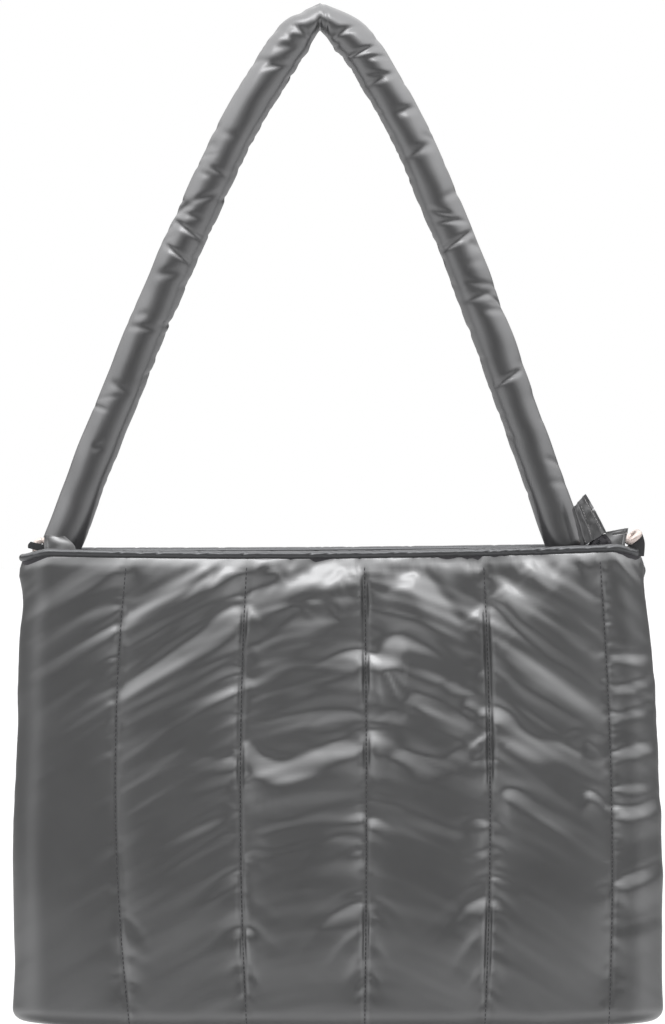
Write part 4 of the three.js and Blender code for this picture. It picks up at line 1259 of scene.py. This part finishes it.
def ring(name, node, middle, wide_way, tall_way):
    """A round wire bent to a rounded oblong, whose sides run in two given directions."""
    stations = 96
    skin, round_share, long_share = tube_grid(name, stations, 16, False)
    turn = round_share * 2 * math.pi
    wide = RING_HALF_WIDE - RING_CORNER
    tall = RING_HALF_TALL - RING_CORNER
    arc = RING_CORNER * math.pi / 2
    stops = np.cumsum([0, wide, arc, 2 * tall, arc, 2 * wide, arc, 2 * tall, arc, wide])
    at = long_share * stops[-1]
    heading = np.interp(at, stops, np.array([0, 0, 1, 1, 2, 2, 3, 3, 4, 4]) * math.pi / 2)
    x = np.interp(at, stops, [0, wide, wide, wide, wide, -wide, -wide, -wide, -wide, 0])
    z = np.interp(at, stops, [tall, tall, tall, -tall, -tall, -tall, -tall, tall, tall, tall])
    out_x = np.sin(heading)
    out_z = np.cos(heading)
    joint = 1 - 0.22 * np.exp(-((np.minimum(at, stops[-1] - at) / (0.35 * MM)) ** 2))
    wire = RING_WIRE * joint
    x = x + out_x * (RING_CORNER + np.cos(turn) * wire)
    z = z + out_z * (RING_CORNER + np.cos(turn) * wire)
    y = np.sin(turn) * wire
    middle_x, middle_z = from_photo(*middle)
    through = np.cross(wide_way, tall_way)
    places = np.array([middle_x, RING_DEPTH, middle_z]) + np.outer(x, wide_way)
    places += np.outer(z, tall_way) + np.outer(y, through)
    made = close_tube(name, skin, places, np.stack([turn * RING_WIRE, at], axis=1))
    made.data.materials.append(ring_metal)
    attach(made, "root")
    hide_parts(node)
    return made


ring("ring_l", "ring_left", (43.5, 550.3), (1, 0, 0), (0, 0, 1))
ring("ring_r", "ring_right", (631.8, 537), (0.79, 0.0, 0.613), (-0.10, 0.987, 0.127))

# Side tabs
# Nylon loops that hold the rings at the side seams, in the piping's darker nylon as painted shade. The right one goes
# over the piping and down the outside.
def plain_lift(across, up):
    """A loop that lies flat."""
    return 0 * across * up


# The side tabs' dark colour is painted shade under the rings.
left_loop = cloth_patch(
    "side_tab_l",
    ((29.5, 548), (29.5, 544.5), (32, 541.5)),
    ((47, 552), (47, 548), (47, 545)),
    -13.0 * MM,
    plain_lift,
    5 * MM,
    trim_nylon,
)
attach(left_loop, "root")
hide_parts("side_tab_left")
right_loop = cloth_patch(
    "side_tab_r",
    ((626, 556), (626.5, 546.5), (630, 542.5), (638, 534.5)),
    ((642.5, 556), (643.3, 543), (641, 534.2)),
    -12.0 * MM,
    plain_lift,
    8 * MM,
    trim_nylon,
)
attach(right_loop, "root")
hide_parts("side_tab_right")

# Quilting thread
# Dark thread that holds the walls flat along their five upright lines, stitch by stitch, and pale
# thread along the edges of the tabs.
STITCH_PITCH = 2.9 * MM
STITCH_LENGTH = 2.1 * MM
STITCH_RADIUS = 0.34 * MM


def sew(thread, line, pitch, length, radius):
    """Lays stitches end to end along a line of places."""
    steps = np.linalg.norm(np.diff(line, axis=0), axis=1)
    runs = np.concatenate([[0], np.cumsum(steps)])
    for number in range(int(runs[-1] / pitch)):
        at = (number + 0.5) * pitch
        ends = [
            Vector([float(np.interp(at + shift, runs, line[:, axis])) for axis in range(3)])
            for shift in (-length / 2, length / 2)
        ]
        ahead = ends[1] - ends[0]
        turned = ahead.to_track_quat("Z", "Y").to_matrix().to_4x4()
        sized = Matrix.Diagonal((radius, radius, length / 2, 1))
        place = Matrix.Translation((ends[0] + ends[1]) / 2)
        add_bead(thread, place @ turned @ sized)


dark_thread = woven_nylon("dark_thread", (0.10, 0.10, 0.105), (0.06, 0.06, 0.065), 0.3 * MM, 0.5, 0.3)
pale_thread = woven_nylon("pale_thread", (0.5, 0.49, 0.48), (0.36, 0.35, 0.35), 0.3 * MM, 0.5, 0.0)
quilting = bmesh.new()
wall_columns = round((2 * HALF_WIDTH + BASE_DEPTH) / CLOTH_STEP)
for wall, towards in ((front, -1), (back, 1)):
    skin = np.array([vertex.co for vertex in wall.data.vertices]).reshape(-1, wall_columns + 1, 3)
    for column in channel_knots(wall_columns)[1:-1]:
        line = skin[6:-2, column].copy()
        line[:, 1] += towards * 0.2 * MM
        sew(quilting, line, STITCH_PITCH, STITCH_LENGTH, STITCH_RADIUS)
bead_piece("quilting_thread", quilting, dark_thread)

edging = bmesh.new()
for points, depth in (
    (((584, 543), (579.5, 526), (575, 509)), -19.2),
    (((589.5, 535), (584.5, 519), (579, 504)), -20.2),
    (((599.5, 529), (591, 513), (582.5, 498)), -20.2),
    (((48.6, 547), (48.5, 542), (48.5, 537)), -16.2),
    (((622.2, 544), (623.6, 538), (624.8, 532)), -16.2),
):
    flat_line = resampled(points, 10, 30)
    line = np.stack([flat_line[:, 0], np.full(30, depth * MM), flat_line[:, 1]], axis=1)
    sew(edging, line, 1.9 * MM, 1.4 * MM, 0.15 * MM)
bead_piece("edge_thread", edging, pale_thread)

# Studio
# A pale floor under the hanging bag, a pale surround, and soft boxes that give the nylon its sheen.
FLOOR_DROP = 0.06
floor_mesh = bmesh.new()
bmesh.ops.create_grid(floor_mesh, x_segments=4, y_segments=4, size=30)
bmesh.ops.translate(floor_mesh, verts=floor_mesh.verts, vec=(0, 0, BASE_Z - FLOOR_DROP))
floor_data = bpy.data.meshes.new("floor")
floor_mesh.to_mesh(floor_data)
floor_mesh.free()
floor = bpy.data.objects.new("floor", floor_data)
bpy.context.scene.collection.objects.link(floor)
floor_finish = Finish("pale_floor")
floor_data.materials.append(floor_finish.surface(Base_Color=(0.86, 0.86, 0.86, 1), Roughness=0.8))

floor.visible_glossy = False

# Light from the surround by height: the horizon is dark, and the ceiling is bright
SURROUND = (
    (0.0, 0.25),
    (0.24, 0.76),
    (0.42, 0.54),
    (0.49, 0.09),
    (0.56, 0.10),
    (0.66, 0.95),
    (0.78, 1.55),
    (1.0, 1.6),
)
CAMERA_SIDE_SHADE = 0.5
world = bpy.data.worlds.new("studio")
bpy.context.scene.world = world
world.use_nodes = True
nodes = world.node_tree.nodes
links = world.node_tree.links
sky = nodes["Background"]
sky.inputs["Color"].default_value = (1, 1, 1, 1)
place = nodes.new("ShaderNodeTexCoord")
parts = nodes.new("ShaderNodeSeparateXYZ")
links.new(place.outputs["Generated"], parts.inputs["Vector"])
height = nodes.new("ShaderNodeMapRange")
height.inputs["From Min"].default_value = -1
links.new(parts.outputs["Z"], height.inputs["Value"])
glow = nodes.new("ShaderNodeValToRGB")
glow.color_ramp.interpolation = "EASE"
while len(glow.color_ramp.elements) < len(SURROUND):
    glow.color_ramp.elements.new(0.5)
for stop, (at, strength) in zip(glow.color_ramp.elements, SURROUND):
    stop.position = at
    stop.color = (strength, strength, strength, 1)
links.new(height.outputs["Result"], glow.inputs["Fac"])
ahead = nodes.new("ShaderNodeMapRange")
ahead.interpolation_type = "SMOOTHSTEP"
ahead.inputs["From Min"].default_value = -0.55
ahead.inputs["From Max"].default_value = -0.98
ahead.inputs["To Min"].default_value = 1
ahead.inputs["To Max"].default_value = CAMERA_SIDE_SHADE
links.new(parts.outputs["Y"], ahead.inputs["Value"])
shaded = nodes.new("ShaderNodeMath")
shaded.operation = "MULTIPLY"
links.new(glow.outputs["Color"], shaded.inputs[0])
links.new(ahead.outputs["Result"], shaded.inputs[1])
path = nodes.new("ShaderNodeLightPath")
seen = nodes.new("ShaderNodeMix")
seen.inputs["B"].default_value = 1.0
links.new(path.outputs["Is Camera Ray"], seen.inputs["Factor"])
links.new(shaded.outputs["Value"], seen.inputs["A"])
links.new(seen.outputs["Result"], sky.inputs["Strength"])


def soft_box(name, place, target, width, height, power):
    """A soft studio light that isn't seen by the camera itself."""
    data = bpy.data.lights.new(name, "AREA")
    data.shape = "RECTANGLE"
    data.size = width
    data.size_y = height
    data.energy = power
    lamp = bpy.data.objects.new(name, data)
    bpy.context.scene.collection.objects.link(lamp)
    lamp.location = place
    lamp.rotation_euler = (Vector(target) - Vector(place)).to_track_quat("-Z", "Y").to_euler()
    lamp.visible_camera = False
    return lamp


soft_box("top_box", (-0.15, -0.75, 0.7), (0.0, 0.0, -0.42), 1.2, 0.35, 3)
soft_box("left_box", (-1.5, -0.9, -0.2), (0.0, 0.0, -0.40), 0.9, 1.4, 0.35)
